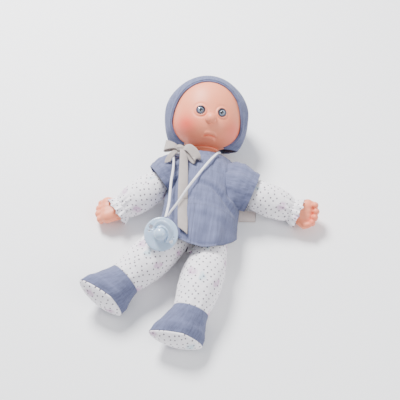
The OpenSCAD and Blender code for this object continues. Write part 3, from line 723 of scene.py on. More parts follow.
blend_k = 0.8
h = np.clip(0.5 + 0.5 * (y - ball) / blend_k, 0, 1)
nosed = y * (1 - h) + ball * h - blend_k * h * (1 - h)
y = np.where(front & (nose_far < NOSE_R), nosed, y)
y = np.where(front, y + 8.5 * (1 - smoothstep(4.75, 5.35, eye_far)), y)
head_points = head_place(np.stack([x, y, z], -1), FACE_TURN)
head = solid_grid("vinyl_head", head_points)
fan_centres = [0, 0]
blush = 0.80 * bump_at(x, z, -30, -24, 9.5) + 0.66 * bump_at(x, z, 33, -26, 9.5)
blush += 0.12 * bump_at(x, z, 0, -15, 6)
blush += 0.30 * np.exp(-((z - mouth_z) / 1.3) ** 2) * mouth_on + 0.22 * bump_at(x, z, 0, -46, 7, 3.5)
blush = np.where(front, np.clip(blush, 0, 0.85), 0)
lash = np.where(front, 1 - smoothstep(5.15, 5.75, eye_far), 0)
put_attribute(head, "blush", list(blush.ravel()) + fan_centres)
put_attribute(head, "lash", list(lash.ravel()) + fan_centres)
finish_piece(head, vinyl, "head", ["head_shell"])

# %% [markdown]
# ## The eyes
# Each eye is a ball that is set into its socket from inside the head, with the iris painted on and a
# clear lens over it. Here one glossy ball does both: its clear coat is the lens. Its flat layout
# measures the distance from the middle of the iris, so that the paint is round.

# %% Two eyeballs and their lash rings
LASH_R = 5.05


def eyeball(name, side):
    rows, cols_ = 40, 48
    far = np.radians(np.linspace(2, 140, rows))
    turn = once_round(cols_)
    px = EYE_R * np.sin(far)[:, None] * np.cos(turn)[None]
    pz = EYE_R * np.sin(far)[:, None] * np.sin(turn)[None]
    py = -EYE_R * np.cos(far)[:, None] * np.ones(cols_)[None]
    py = py - 0.5 * np.exp(-((far[:, None] * EYE_R) / 2.6) ** 2)
    P = np.stack([px[::-1] + side * EYE_X, py[::-1] + EYE_Y, pz[::-1] + EYE_Z], -1)
    turn_uv = np.append(turn, 2 * np.pi)
    mm = (far * EYE_R)[::-1]
    gaze = np.array([-0.25 * side, 0.15])
    UV = np.stack([mm[:, None] * np.cos(turn_uv)[None], mm[:, None] * np.sin(turn_uv)[None]], -1) - gaze
    return solid_grid(name, head_place(P, FACE_TURN), uv=UV)


def lash_ring(name, side):
    turn, roll = once_round(64), once_round(10)
    tube = 0.62 + 0.22 * np.clip(np.sin(turn), 0, 1)
    out = LASH_R + tube[:, None] * np.cos(roll)[None]
    px, pz = out * np.cos(turn)[:, None], out * np.sin(turn)[:, None]
    lean = -np.sqrt(np.maximum((HEAD_R - 0.1) ** 2 - (side * EYE_X + px) ** 2, 1)) + 0.15
    py = lean + tube[:, None] * np.sin(roll)[None]
    return hoop(name, head_place(np.stack([px + side * EYE_X, py, pz + EYE_Z], -1), FACE_TURN))


for side, word in ((1, "left"), (-1, "right")):
    finish_piece(eyeball(f"eyeball_{word}", side), painted_eye, "head", [f"eye_{word}"])
    ring = lash_ring(f"lash_ring_{word}", side)
    finish_piece(ring, lash_paint, "head", [])
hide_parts("eye_lenses")

# %% [markdown]
# ## The bonnet
# The bonnet is one shell of muslin round the head, cut off flat at the face and at the neck, with a
# folded binding round the face. We make the whole rounded form, with gathers, and cut it with two
# planes as scissors would. The binding is a soft roll that follows the cut.

# %% Bonnet
BONNET_TURN, BONNET_LEAN = math.radians(5), math.radians(13)
OPEN_AT, BONNET_R, BONNET_UP, BONNET_DOWN, NAPE_Z = 20.5, 51.2, 53.5, 56, -44.0
open_normal = np.array([0, -math.cos(BONNET_LEAN), -math.sin(BONNET_LEAN)])


def bonnet_surface(angle, a_up_down):
    """angle runs round the head's axis, 0 in front; the second runs from the crown (90) to the neck (-90)."""
    a = np.radians(a_up_down)
    s = np.where(a > 0, BONNET_UP * np.sin(a), BONNET_DOWN * np.sin(-a))
    r = np.where(a > 0, swell(s, BONNET_UP, BONNET_R, 1.95), swell(s, BONNET_DOWN, BONNET_R, 2.4))
    z = -7 + np.where(a > 0, s, -s)
    x, y = r * np.sin(angle), -r * np.cos(angle)
    gather = np.zeros(np.shape(x))
    for k, (n, power, phase) in enumerate(((9, 0.9, 0.4), (17, 0.6, 2.0), (31, 0.35, 1.1))):
        gather += power * np.sin(n * angle + phase + 1.7 * np.sin(3 * a + k))
    fade = smoothstep(-1.2, -0.2, a) * 0.6 + 0.4
    full = 2.6 * np.exp(-((angle + 1.9) / 0.7) ** 2) * np.exp(-((z + 2) / 22) ** 2)
    out = 1 + (gather * fade * smoothstep(0.6, 1.6, np.abs(angle)) + full) / BONNET_R
    return np.stack([x * out, y * out, z], -1)


def drawn_in(p):
    """Near the face the bonnet's edge is drawn in, until it lies on the head."""
    behind = OPEN_AT - p @ open_normal
    near = 1 - smoothstep(0, 15, behind)
    r = np.hypot(p[:, 0], p[:, 1])
    s = np.where(p[:, 2] > WIDEST_Z, (p[:, 2] - WIDEST_Z) / CROWN_UP, (WIDEST_Z - p[:, 2]) / CHIN_DOWN)
    head_r = HEAD_R * np.maximum(0, 1 - np.clip(s, 0, 1) ** 2.2) ** (1 / 2.2)
    scale = 1 - near + near * np.maximum(head_r + 2.3, 12) / np.maximum(r, 1)
    out = p.copy()
    out[:, :2] *= np.minimum(scale, 1)[:, None]
    return out


rows, cols = 110, 200
P = bonnet_surface(*np.broadcast_arrays(np.linspace(-math.pi, math.pi, cols, endpoint=False)[None],
                                        np.linspace(88.5, -62, rows)[:, None]))
down_cloth = (P[:, :1, 2].max() - P[:, :1, 2]) * 1.3
UV = np.stack(np.broadcast_arrays(np.linspace(0, 320, cols + 1)[None], down_cloth), 2)
faces, spots = grid_quads(rows, cols, True)
shell = new_piece("muslin_bonnet", P.reshape(-1, 3) - SHIFT, faces, [UV[i, j] for q in spots for i, j in q])
work = bmesh.new()
work.from_mesh(shell.data)
for through, normal in ((open_normal * OPEN_AT, open_normal),
                        (np.array([0, 0, NAPE_Z]), np.array([0, 0, -1.0]))):
    bmesh.ops.bisect_plane(work, geom=work.verts[:] + work.edges[:] + work.faces[:], dist=1e-6,
                           plane_co=through / 1000, plane_no=normal, clear_outer=True)
rim_edges = [e for e in work.edges if e.is_boundary]
crown_loop = [e for e in rim_edges if min(v.co.z for v in e.verts) > 0.0425]
bmesh.ops.contextual_create(work, geom=crown_loop)
front_verts = {v for e in rim_edges for v in e.verts
               if abs((np.array(v.co) * 1000 - open_normal * OPEN_AT) @ open_normal) < 0.05}
front_edge = drawn_in(np.array([v.co for v in front_verts]) * 1000)
work.to_mesh(shell.data)
work.free()
co = drawn_in(np.array([v.co for v in shell.data.vertices]) * 1000)
final = above_table(head_place(co, BONNET_TURN), 1.6)
shell.data.vertices.foreach_set("co", metres(final).astype(np.float32).ravel())
shell.data.update()
lining = shell.modifiers.new("two layers", "SOLIDIFY")
lining.thickness = 0.0018
lining.offset = -1
finish_piece(shell, muslin, "head", ["bonnet"])

# %% Bonnet binding
order = np.argsort(np.arctan2(front_edge[:, 0], front_edge[:, 2]))
edge = front_edge[order]
edge = edge[np.concatenate([[True], np.linalg.norm(np.diff(edge, axis=0), axis=1) > 0.3])]
rings = []
for k, p in enumerate(edge):
    out = unit((p - np.array([0, p[1], -4])) * np.array([1, 0, 1]))
    wave = 0.25 * math.sin(k * 0.55) + 0.2 * math.sin(k * 0.21 + 1)
    ring = []
    for deg in range(0, 360, 30):
        c, s_ = math.cos(math.radians(deg)), math.sin(math.radians(deg))
        ring.append(p - open_normal * (1.6 + 2.9 * c) + out * (-0.5 + (1.7 + wave) * s_))
    rings.append(ring)
binding = solid_grid("bonnet_binding", head_place(np.array(rings), BONNET_TURN))
finish_piece(binding, muslin_hem, "head", ["bonnet_edging"])

# %% [markdown]
# ## The tunic
# The tunic hangs from the shoulders over the stuffed body. It is one sheet round the body, from the
# hem to the neck, so a grid suits it: each row is a ring, each ring follows the body, and folds are
# pushed into it where the arm pulls on the cloth. Below the waist it is split down the middle.

# %% The tunic's ring of points
NECK_LEAN = math.radians(26)
NECK_AT = HEAD_C - 60 * np.array([0, math.cos(NECK_LEAN), math.sin(NECK_LEAN)])
BODY_MIDDLE = np.array([0, 18, TORSO_AXIS_Z])
TUNIC_R, NECK_R, WAIST_Y = 47.6, 20.2, -8.0
CREASES = [  # from, to, width, depth
    ((-6, 24), (14, 18), 3.2, 1.6), ((14, 19), (40, -2), 2.8, 3.0), ((31, 62), (33, 12), 3.2, 2.6),
    ((-34, 58), (-38, 10), 3.2, 2.0), ((-24, 8), (6, -4), 3.6, 0.9), ((-12, -20), (30, -26), 4.5, 0.9),
    ((-30, -24), (-22, -52), 4.0, 1.2), ((16, -30), (20, -60), 4.5, 0.9), ((8, 60), (12, 34), 3.0, 0.7),
    ((20, 60), (24, 40), 2.6, 0.8),
]


def fold(x, y, a, b, width, depth):
    """A crease along the line from a to b: a valley with a ridge beside it."""
    a, b = np.array(a, float), np.array(b, float)
    along = (b - a) / np.linalg.norm(b - a)
    t = (x - a[0]) * along[0] + (y - a[1]) * along[1]
    side = -(x - a[0]) * along[1] + (y - a[1]) * along[0]
    length = np.linalg.norm(b - a)
    ends = smoothstep(-6, 6, t) * (1 - smoothstep(length - 6, length + 6, t))
    ridge = 0.6 * depth * np.exp(-((side - 2.1 * width) / (1.3 * width)) ** 2)
    return ends * (ridge - depth * np.exp(-(side / width) ** 2))


def hem_line(angle):
    """How far down the hem hangs at each angle round the body."""
    top = TORSO_AXIS_Z + 48 * np.sin(angle)
    x = 48 * np.cos(angle)
    return -60.5 - 0.13 * (x - 3) * np.clip(np.sin(angle), 0, 1) + 0.781 * (64.5 - np.maximum(top, 0.5))


def tunic_points(rows_skirt=22, rows_body=64, rows_neck=12, cols=200):
    angle = once_round(cols) - np.pi / 2
    hem = np.minimum(hem_line(angle), WAIST_Y - 1.5)
    skirt = [hem * (1 - t) + WAIST_Y * t for t in np.linspace(0, 1, rows_skirt, endpoint=False)]
    body = [np.full(cols, WAIST_Y + 78.0 * t) for t in np.linspace(0, 1, rows_body, endpoint=False)]
    Y = np.array(skirt + body)
    A = np.broadcast_to(angle, Y.shape)
    r = swell(Y - 2, 84, TUNIC_R, 3.5)
    X = r * np.cos(A)
    Z = TORSO_AXIS_Z + r * np.sin(A)
    loose = smoothstep(5, -50, Y)
    r_out = (1.3 * loose * (np.sin(7 * A + 0.8) + 0.6 * np.sin(12 * A + 2.2))
             * smoothstep(0, 0.6, np.sin(A) + 0.9))
    X, Z = X + r_out * np.cos(A), Z + r_out * np.sin(A)
    top = smoothstep(-0.1, 0.5, np.sin(A))
    dent = sum(fold(X, Y, *crease) for crease in CREASES)
    X, Z = X + dent * top * np.cos(A), Z + dent * top * np.sin(A)
    P = np.stack([X, Y, Z], -1)
    ring_up = np.array([0, -math.sin(NECK_LEAN), math.cos(NECK_LEAN)])
    neck = NECK_AT + NECK_R * (np.cos(angle)[:, None] * np.array([1, 0, 0]) + np.sin(angle)[:, None] * ring_up)
    last = P[-1]
    extra = []
    for t in np.linspace(0, 1, rows_neck + 1)[1:]:
        s = t * t * (3 - 2 * t)
        mid = last * (1 - t) + neck * t
        mid[:, 1] += 5.5 * math.sin(math.pi * t)
        rad = (mid[:, [0, 2]] - np.array([-7 * t, TORSO_AXIS_Z + 6 * t])) * (0.10 * math.sin(math.pi * t))
        mid[:, [0, 2]] += rad
        extra.append(mid)
    P = np.concatenate([P, np.array(extra)], 0)
    soft = np.array([[0.55 * noise.noise(Vector((x / 5.5, y / 16, z / 5.5)))
                      + 0.9 * noise.noise(Vector((x / 13, y / 11, z / 13 + 5)))
                      for x, y, z in row] for row in P])
    P = above_table(P + normals_away_from(P, BODY_MIDDLE) * soft[..., None], 0.25)
    return P, normals_away_from(P, BODY_MIDDLE), rows_skirt


TUNIC, TUNIC_N, WAIST_ROW = tunic_points()
TUNIC_UV = measure_uv(TUNIC, True)
print("tunic grid:", TUNIC.shape, "front at waist z", round(TUNIC[WAIST_ROW, :, 2].max(), 1))

# %% Cut the tunic at the waist and down the middle
TUNIC_THICK = 1.5
body_part = sheet_grid("muslin_tunic", TUNIC[WAIST_ROW:], TUNIC_N[WAIST_ROW:], TUNIC_THICK, True,
                       TUNIC_UV[WAIST_ROW:])
finish_piece(body_part, muslin, "torso", ["tunic_body", "tunic_collar"])
skirt_lines = {}
columns = TUNIC.shape[1]
split = int(columns * 0.515)
top_row = WAIST_ROW + 3
for word, first in (("left", 0), ("right", split)):
    pick = [(first + k) % columns for k in range(split + 4 if word == "left" else columns - split + 1)]
    P = TUNIC[:top_row][:, pick].copy()
    N = TUNIC_N[:top_row][:, pick]
    P[WAIST_ROW + 1:] -= 0.5 * N[WAIST_ROW + 1:]
    if word == "left":
        P[:, split + 1:] -= 0.6 * N[:, split + 1:]
    part = sheet_grid(f"muslin_skirt_{word}", P, N, TUNIC_THICK, False,
                      TUNIC_UV[:top_row, first:first + len(pick)])
    finish_piece(part, muslin, "torso", ["tunic_skirt"] if word == "left" else [])
    skirt_lines[word] = P[2] + 0.15 * N[2]
    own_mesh(part)

# %% [markdown]
# ## Stuffed limbs
# Arms and legs are tubes of jersey, closed at the joint, packed with fibre and gathered or sewn to
# what comes next. Each one is a row of rings along its axis. A little unevenness makes the filling
# visible, a shallow valley marks the sewn seam underneath, and the floor flattens what rests on it.

# %% Limb helpers
ARM_LENGTH, LEG_LENGTH = 64.5, 80.0
limbs = {
    "arm_left": (np.array([49.8, 39.1, 32.7]), unit([0.952, -0.232, -0.2])),
    "arm_right": (np.array([-49, 42.5, 32.7]), unit([-0.75, -0.63, -0.2])),
    "leg_left": (np.array([19.5, -51, 28.0]), unit([-0.18, -0.982, -0.05])),
    "leg_right": (np.array([-26, -36, 28.0]), unit([-0.637, -0.769, -0.05])),
}


def axes_round(d):
    """Two directions square to d; the first points up."""
    up = np.array([0, 0, 1.0])
    first = unit(up - (up @ d) * d)
    return first, np.cross(d, first)


def limb_rings(c, d, stations, radii, lumps, pleats, seed, cols=110):
    up, side = axes_round(d)
    turn = once_round(cols)
    rings = []
    for t, r in zip(stations, radii):
        ring = []
        for a in turn:
            way = math.cos(a) * up + math.sin(a) * side
            p = c + d * t + r * way
            big = noise.noise(Vector(p / 15) + Vector((seed, 0, 0)))
            small = noise.noise(Vector(p / 6) + Vector((0, seed, 0)))
            seam = 0.5 * math.exp(-((a - math.pi * 0.75) / 0.035) ** 2)
            ring.append(p + (lumps * (big + 0.45 * small) - seam + pleats(t, a)) * way)
        rings.append(ring)
    return above_table(np.array(rings), 0.35)


def rounded_profile(points, root, steps):
    """Radii along a limb: half a ball at the joint, then a smooth line through the given points."""
    s = np.linspace(-root * 0.985, 0, 14)[:-1]
    stations, radii = list(s), list(np.sqrt(root ** 2 - s ** 2))
    ts, rs = zip(*points)
    t = np.linspace(ts[0], ts[-1], steps)
    r = np.interp(t, ts, rs)
    for _ in range(6):
        r[1:-1] = (r[:-2] + 2 * r[1:-1] + r[2:]) / 4
    return stations + list(t), radii + list(r)


# %% Legs and arms
leg_line = [(0, 20), (24, 25), (38, 25.6), (52, 25.2), (66, 23), (80, 21)]
arm_line = [(0, 12), (8, 15.8), (18, 20), (32, 20.8), (44, 20.2), (54, 18.2), (60, 16), (64.5, 13.8)]


def ankle_pleats(t, a):
    return 0.5 * smoothstep(68, 80, t) * math.sin(11 * a + 1.0)


def wrist_pleats(t, a):
    return smoothstep(44, 63, t) * (0.9 * math.sin(15 * a) + 0.5 * math.sin(23 * a + 1.3))


for name, line, root, steps, lumps, pleats, seed, fill in (
        ("leg_left", leg_line, 20, 56, 0.9, ankle_pleats, 3.0, 0.85),
        ("leg_right", leg_line, 20, 56, 0.9, ankle_pleats, 8.0, 0.85),
        ("arm_left", arm_line, 12, 50, 0.8, wrist_pleats, 1.0, 0.8),
        ("arm_right", arm_line, 12, 50, 0.8, wrist_pleats, 6.0, 0.8)):
    stations, radii = rounded_profile(line, root, steps)
    piece = solid_grid(f"jersey_{name}", limb_rings(*limbs[name], stations, radii, lumps, pleats, seed))
    finish_piece(piece, jersey, name, [name.replace("_", "_cover_")])

# %% [markdown]
# ## The body under the tunic
# Only a little of the stuffed body shows, between the legs, but it also backs the tunic. It is the
# same kind of grid. Where a limb turns, the cloth is drawn in round the limb's root, out of a ball at
# the joint. The leg gets a second ball above its joint, for its room when the doll sits.

# %% Torso cover
angle = once_round(120)
body_y = 18 + 61.9 * np.cos(np.linspace(math.pi * 0.985, 0.03 * math.pi, 60))
r = swell(body_y - 18, 62, 43.4, 3.5)
P = np.stack([r[:, None] * np.cos(angle)[None], np.broadcast_to(body_y[:, None], (60, 120)),
              TORSO_AXIS_Z + r[:, None] * np.sin(angle)[None]], -1)
P = above_table(P, 3.6)
heart = np.array([0, 18, 18.0])
for name, above_joint, hole in (("leg_left", 0, 25.8), ("leg_right", 0, 25.8), ("leg_left", 21, 28.4),
                                ("leg_right", 21, 28.4), ("arm_left", 0, 17.2), ("arm_right", 0, 17.2)):
    c = limbs[name][0] + np.array([0, 0, above_joint])
    inward = heart - P
    inward /= np.linalg.norm(inward, axis=-1, keepdims=True)
    offset = P - c
    b = (offset * inward).sum(-1)
    inside_ball = (offset ** 2).sum(-1) < hole ** 2
    go = -b + np.sqrt(np.maximum(b ** 2 - (offset ** 2).sum(-1) + hole ** 2, 0))
    P = P + inward * np.where(inside_ball, go, 0)[..., None]
torso = solid_grid("jersey_body", P)
finish_piece(torso, jersey, "torso", ["torso_cover"])

# %% [markdown]
# ## Ruffled cuffs
# The jersey is gathered by a thread at the wrist, and its free end fans out into a ruffle. A short
# sheet that opens like a trumpet, with waves that grow towards its edge, does it.

# %% Cuffs
for name in ("arm_left", "arm_right"):
    c, d = limbs[name]
    up, side = axes_round(d)
    turn = once_round(240)
    rings = []
    for t in np.linspace(0, 1, 16):
        r = 13.9 + 4.3 * t ** 0.8
        wave = t * (1.35 * np.sin(13 * turn + 0.5) + 0.6 * np.sin(7 * turn + 2.0) + 0.35 * np.sin(29 * turn))
        creep = t * t * (0.9 * np.sin(9 * turn + 1.1) + 0.5 * np.sin(19 * turn))
        way = np.cos(turn)[:, None] * up + np.sin(turn)[:, None] * side
        rings.append(c + d * (ARM_LENGTH - 1.5 + 11.5 * t) + creep[:, None] * d + (r + wave)[:, None] * way)
    P = above_table(np.array(rings), 0.5)
    ruffle = sheet_grid(f"ruffle_{name}", P, normals_away_from(P, c + d * ARM_LENGTH), 0.7)
    finish_piece(ruffle, jersey, name, [name.replace("arm", "cuff")])

# %% [markdown]
# ## Sleeves
# A short sleeve is a tube of muslin that is sewn into the armhole and turned up at its end.

# %% Sleeves
hem_lines = {}
sleeve_shapes = {  # reach down the arm, then stations, and half the width and height at each
    "arm_left": (12.0, [-36, -22, -10, 0, 7, 12],
                 [20, 30.5, 31.5, 28.5, 26.4, 25.4], [12, 19, 24.5, 25, 23.6, 22.8]),
    "arm_right": (7.0, [-32, -20, -9, -2, 3, 7],
                  [17, 25, 26.5, 25.4, 24.2, 23.6], [10, 17, 23.5, 24.6, 23.8, 23.2]),
}
for name, (reach, at_t, wide, tall) in sleeve_shapes.items():
    c, d = limbs[name]
    up, side = axes_round(d)
    turn = once_round(168)
    stations = np.concatenate([np.linspace(at_t[0], reach - 6.2, 26), np.linspace(reach - 5.6, reach, 8)])
    rings = []
    for t in stations:
        ry, rz = np.interp(t, at_t, wide), np.interp(t, at_t, tall)
        slack = 0.9 * np.sin(6 * turn + 0.6) + 0.6 * np.sin(11 * turn + 2.0)
        slack = slack * (0.35 + 0.65 * smoothstep(6, -10, t)) + (0.6 if t > reach - 6 else 0)
        ring = (c + d * t + ((rz + slack) * np.cos(turn))[:, None] * up
                + ((ry + slack) * np.sin(turn))[:, None] * side)
        for k in range(len(turn)):
            ring[k] += unit(ring[k] - c - d * t) * 0.8 * noise.noise(Vector(ring[k] / 7))
        rings.append(ring)
    P = above_table(np.array(rings), 0.3)
    N = normals_away_from(P, c - d * 3)
    piece = sheet_grid(f"muslin_sleeve_{name[4:]}", P, N, 1.4)
    finish_piece(piece, muslin, None, [name.replace("arm", "sleeve")])
    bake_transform(piece)
    hem_lines[name] = (P[25] + 0.25 * N[25], (c - d * 12, c + d * reach))

# %% [markdown]
# ## Feet and soles
# A foot is a muslin upper that changes from the round ankle to the long outline of the sole, and a
# printed sole that the filling pushes out. Each ring of the upper is drawn between the two outlines.
# The sole's outline has a soft corner over the instep, where the upper's side seam meets it.

# %% Feet
FOOT_HALF, FOOT_SIDE, ANKLE_R = 32.0, 18.6, 21.2
feet = {
    "left": (np.array([-7.5, -165.5, 23.0]), unit([-0.955, 0.078, 0.287]), unit([-0.06, -0.99, 0.07])),
    "right": (np.array([-100.5, -127, 28.0]), unit([-0.742, 0.352, 0.57]), unit([-0.35, -0.92, 0.11])),
}


def sole_outline(turn):
    """Along the foot and across it, for each angle; the upper side has the corner."""
    p = FOOT_HALF * np.cos(turn)
    arc = np.sin(turn)
    peak = 0.50 * arc + 0.50 * np.maximum(0, 1 - np.abs(np.cos(turn) + 0.12)) ** 0.9
    q = FOOT_SIDE * np.where(arc > 0, peak, arc * (0.94 + 0.06 * np.abs(arc)))
    return p, q


for word, (sole_c, toe, away) in feet.items():
    c, d = limbs[f"leg_{word}"]
    toe = unit(toe - (toe @ away) * away)
    across = np.cross(away, toe)
    across = across if across[2] > 0 else -across
    turn = once_round(120)
    p, q = sole_outline(turn)
    a0 = unit(toe - (toe @ d) * d)
    b0 = np.cross(d, a0) * np.sign(np.cross(d, a0) @ across)
    ankle = c + d * LEG_LENGTH
    rings = []
    for u in np.linspace(0, 1, 34):
        centre = ankle + (sole_c - away * 1.2 - ankle) * u
        shape = u ** 1.35
        full = 1 + 0.035 * math.sin(math.pi * u) + 0.05 * math.sin(math.pi * smoothstep(0.5, 1, u))
        A = ANKLE_R * np.cos(turn)[:, None] * a0 * (1 - shape) + p[:, None] * toe * shape
        B = ANKLE_R * np.sin(turn)[:, None] * b0 * (1 - shape) + q[:, None] * across * shape
        ring = centre + (A + B) * full
        for k in range(len(turn)):
            lump = 0.9 * noise.noise(Vector(ring[k] / 9)) * math.sin(math.pi * min(1, u * 1.1))
            ring[k] += unit(ring[k] - centre) * lump
        rings.append(ring)
    upper = solid_grid(f"muslin_foot_{word}", above_table(np.array(rings), 0.3))
    finish_piece(upper, muslin, f"leg_{word}", [f"foot_upper_{word}"])
    rings, flat = [], []
    for u in np.linspace(0, 0.97, 22):
        flare = 1.0 + 0.03 * math.sin(math.pi * u)
        ring = sole_c - away * 0.9 + (1 - u) * (p[:, None] * toe + q[:, None] * across) * flare
        ring = ring + away * (1.0 + 7.4 * math.sin(math.pi / 2 * u) ** 0.8)
        rings.append(ring)
        pq = np.stack([np.append(p, p[0]), np.append(q, q[0])], -1) * (1 - u)
        flat.append(pq + np.array([17.0 if word == "left" else 61.0, 30.0]))
    back = [sole_c - away * 2.2 + 0.93 * (p[:, None] * toe + q[:, None] * across)]
    P = above_table(np.array(back + rings), 0.3)
    sole_piece = solid_grid(f"printed_sole_{word}", P, uv=np.array([flat[0]] + flat))
    finish_piece(sole_piece, jersey, f"leg_{word}", [f"sole_{word}"])

# %% [markdown]
# ## Hands
# The hands are vinyl castings: a plump palm, four short fingers curled towards it and a thumb. We
# put together balls and rods, then remesh them into one skin and smooth it, which leaves the soft
# creases between the fingers that a casting has.

# %% Hands


def add_ball(work, at, r):
    bmesh.ops.create_icosphere(work, subdivisions=3, radius=r / 1000,
                               matrix=Matrix.Translation(Vector(metres(at))))


def add_rod(work, a, b, ra, rb):
    n = max(3, int(np.linalg.norm(np.array(b) - np.array(a)) / 1.6))
    for k in range(n + 1):
        u = k / n
        add_ball(work, np.array(a) * (1 - u) + np.array(b) * u, ra * (1 - u) + rb * u)


hands = {
    "left": ("arm_left", unit([0.995, -0.03, -0.05]), np.array([0, -0.5, 0.866])),
    "right": ("arm_right", unit([-0.985, -0.12, -0.1]), np.array([0, 0, -1.0])),
}
for word, (arm, ahead, grip) in hands.items():
    c, d = limbs[arm]
    wrist = c + d * (ARM_LENGTH + 4)
    across = unit(np.cross(ahead, grip))
    thumb_side = 1 if word == "left" else -1
    work = bmesh.new()
    add_rod(work, c + d * (ARM_LENGTH - 10), wrist, 11.2, 10.6)
    for k in (-1, -0.35, 0.35, 1):
        add_rod(work, wrist + across * 3 * k, wrist + ahead * 16 + across * 9.2 * k + grip * -0.5, 9.6, 8.6)
    tips = []
    for k, reach, curl in ((-1.5, 25, 7.0), (-0.5, 27.5, 7.5), (0.5, 27, 7.5), (1.45, 24.5, 6.5)):
        k = k * thumb_side
        root = wrist + ahead * 18 + across * 7.4 * k
        knuckle = wrist + ahead * reach + across * 7.6 * k + grip * 1.5
        tip = wrist + ahead * (reach - 0.5) + across * 7.4 * k + grip * curl
        add_rod(work, root, knuckle, 5.2, 4.5)
        add_rod(work, knuckle, tip, 4.5, 3.9)
        tips.append(tip)
    base = wrist + ahead * 8 + across * 9.5 * thumb_side + grip * 2
    bend = wrist + ahead * 15 + across * 15.5 * thumb_side + grip * 6
    tip = wrist + ahead * 20.5 + across * 13.5 * thumb_side + grip * 9.5
    add_rod(work, base, bend, 6.4, 4.9)
    add_rod(work, bend, tip, 4.9, 4.1)
    tips.append(tip)
    mesh = bpy.data.meshes.new("rough hand")
    work.to_mesh(mesh)
    work.free()
    rough = in_scene("rough hand", mesh)
    remesh = rough.modifiers.new("one skin", "REMESH")
    remesh.mode, remesh.voxel_size = "VOXEL", 0.0008
    relax = rough.modifiers.new("relax", "SMOOTH")
    relax.factor, relax.iterations = 0.5, 9
    skin = evaluated_mesh(rough)
    bpy.data.objects.remove(rough)
    skin.name = f"vinyl_hand_{word}"
    skin.polygons.foreach_set("use_smooth", [True] * len(skin.polygons))
    piece = in_scene(skin.name, skin)
    co = np.array([v.co for v in skin.vertices]) * 1000 - SHIFT
    red = sum(np.exp(-((co - t) ** 2).sum(1) / (2 * 4.0 ** 2)) for t in tips) * 0.32
    put_attribute(piece, "blush", np.clip(red, 0, 0.5))
    put_attribute(piece, "lash", np.zeros(len(co)))
    finish_piece(piece, vinyl, f"hand_{word}", [f"hand_{word}"])

# %% [markdown]
# ## The bow
# A taupe ribbon is tied at the side of the neck. A ribbon is a flat strip, so each loop and tail is
# one strip along its own path, with its width set point by point: narrow in the knot, full width
# outside it. The long tail is in two parts, and its end rides on the torso with the skirt.

# %% Ribbon strips
RIBBON_THICK = 0.7


def strip(name, route, widths, side, slant=0.0, curl=0.0):
    """A ribbon: side is the way that its width runs; slant moves one edge on at the far end."""
    along = np.gradient(route, axis=0)
    n = len(route)
    side = np.broadcast_to(np.asarray(side, float), (n, 3))
    across = np.linspace(-1, 1, 9)
    rings = []
    for i, p in enumerate(route):
        t = unit(along[i])
        s = unit(side[i] - (side[i] @ t) * t)
        top = np.cross(s, t)
        ease = smoothstep(n - 9, n - 1, i)
        ring = []
        for u in list(across) + list(across[::-1]):
            up = RIBBON_THICK / 2 if len(ring) < 9 else -RIBBON_THICK / 2
            lift = curl * (u * u - 0.4) * widths[i] / 12
            ring.append(p + s * u * widths[i] / 2 + top * (up + lift) + t * slant * u * ease)
        rings.append(ring)
    return solid_grid(name, np.array(rings))


KNOT = np.array([-34, 74, 58.0])
knot_rings = []
for s in np.linspace(-0.98, 0.98, 24):
    full = math.sqrt(1 - s * s) ** 0.7
    knot_rings.append([KNOT + np.array([5.2 * s, -0.8 * s, 0])
                       + (4.6 + 0.35 * math.sin(5 * a + 2 * s)) * full
                       * np.array([0.12 * math.cos(a), math.cos(a), 0.9 * math.sin(a)])
                       for a in once_round(48)])
finish_piece(solid_grid("ribbon_knot", np.array(knot_rings)), ribbon_cloth, "head", ["bow_knot"])


def spread(points, per_leg, widths):
    route = smooth_route(points, per_leg)
    at = np.linspace(0, len(widths) - 1, len(route))
    w = np.interp(at, range(len(widths)), widths)
    return route, w


bow = {  # points from the knot, widths, the way the width runs, slant, the solid it stands for
    "ribbon_loop_flat": ([[-3, 0, 1], [-8, 1, 3], [-14, 1, 3.6], [-18.6, 1, 2.2], [-19.4, 1, 0.2],
                          [-18, 1, -1.8], [-13, 1, -2.2], [-8, 1, -1.4], [-3, 0, -0.6]],
                         [5, 8, 12, 15, 15.6, 15, 12, 8, 5], (0.06, 1, 0.05), 0.0, ["bow_loops"]),
    "ribbon_loop_open": ([[3, -1, 1], [7, -1.5, 5], [12, -4, 8.2], [18, -10, 9.6], [22.5, -16.5, 8.2],
                          [21, -18.5, 5.4], [16, -14, 3.4], [10, -8, 2.0], [3, -2, 0]],
                         [5, 7.5, 10, 11.5, 11.5, 11.5, 10, 7.5, 5], (0.62, 0.55, 0.56), 0.0, []),
    "ribbon_tail_end": ([[-3, -3, -1], [-7, -8, 1.0], [-10, -14, 2.5], [-12, -20, 2.5], [-12.6, -24, 1.5]],
                        [4, 5.5, 6.5, 7, 7], (1, -0.35, -0.3), -2.0, ["ribbon_tail_short"]),
}
for name, (points, widths, side, slant, stands_for) in bow.items():
    route, w = spread(KNOT + np.array(points), 6, widths)
    finish_piece(strip(name, route, w, side, slant), ribbon_cloth, "head", stands_for)
long_tail = [[-31, 70, 61.5], [-28.5, 62, 63.2], [-26.5, 52, 63.6], [-25, 40, 63.4], [-23.6, 28, 63.2],
             [-22.2, 14, 63.2], [-20.6, 0, 63.4], [-18.8, -14, 64.0], [-17, -28, 64.6],
             [-15.6, -38, 64.8], [-14.6, -47, 64.8]]
route, w = spread(long_tail, 9, [5.5, 8.5, 10.4, 11.4, 11.9, 12.1, 12.1, 12.1, 12.0, 12.0, 11.6])
route[:, 2] += 0.5 * np.sin(0.16 * np.arange(len(route)))
cut_at = int(len(route) * 0.62)
upper = strip("ribbon_tail_upper", route[:cut_at + 1], w[:cut_at + 1], (1, 0.1, -0.28), curl=0.8)
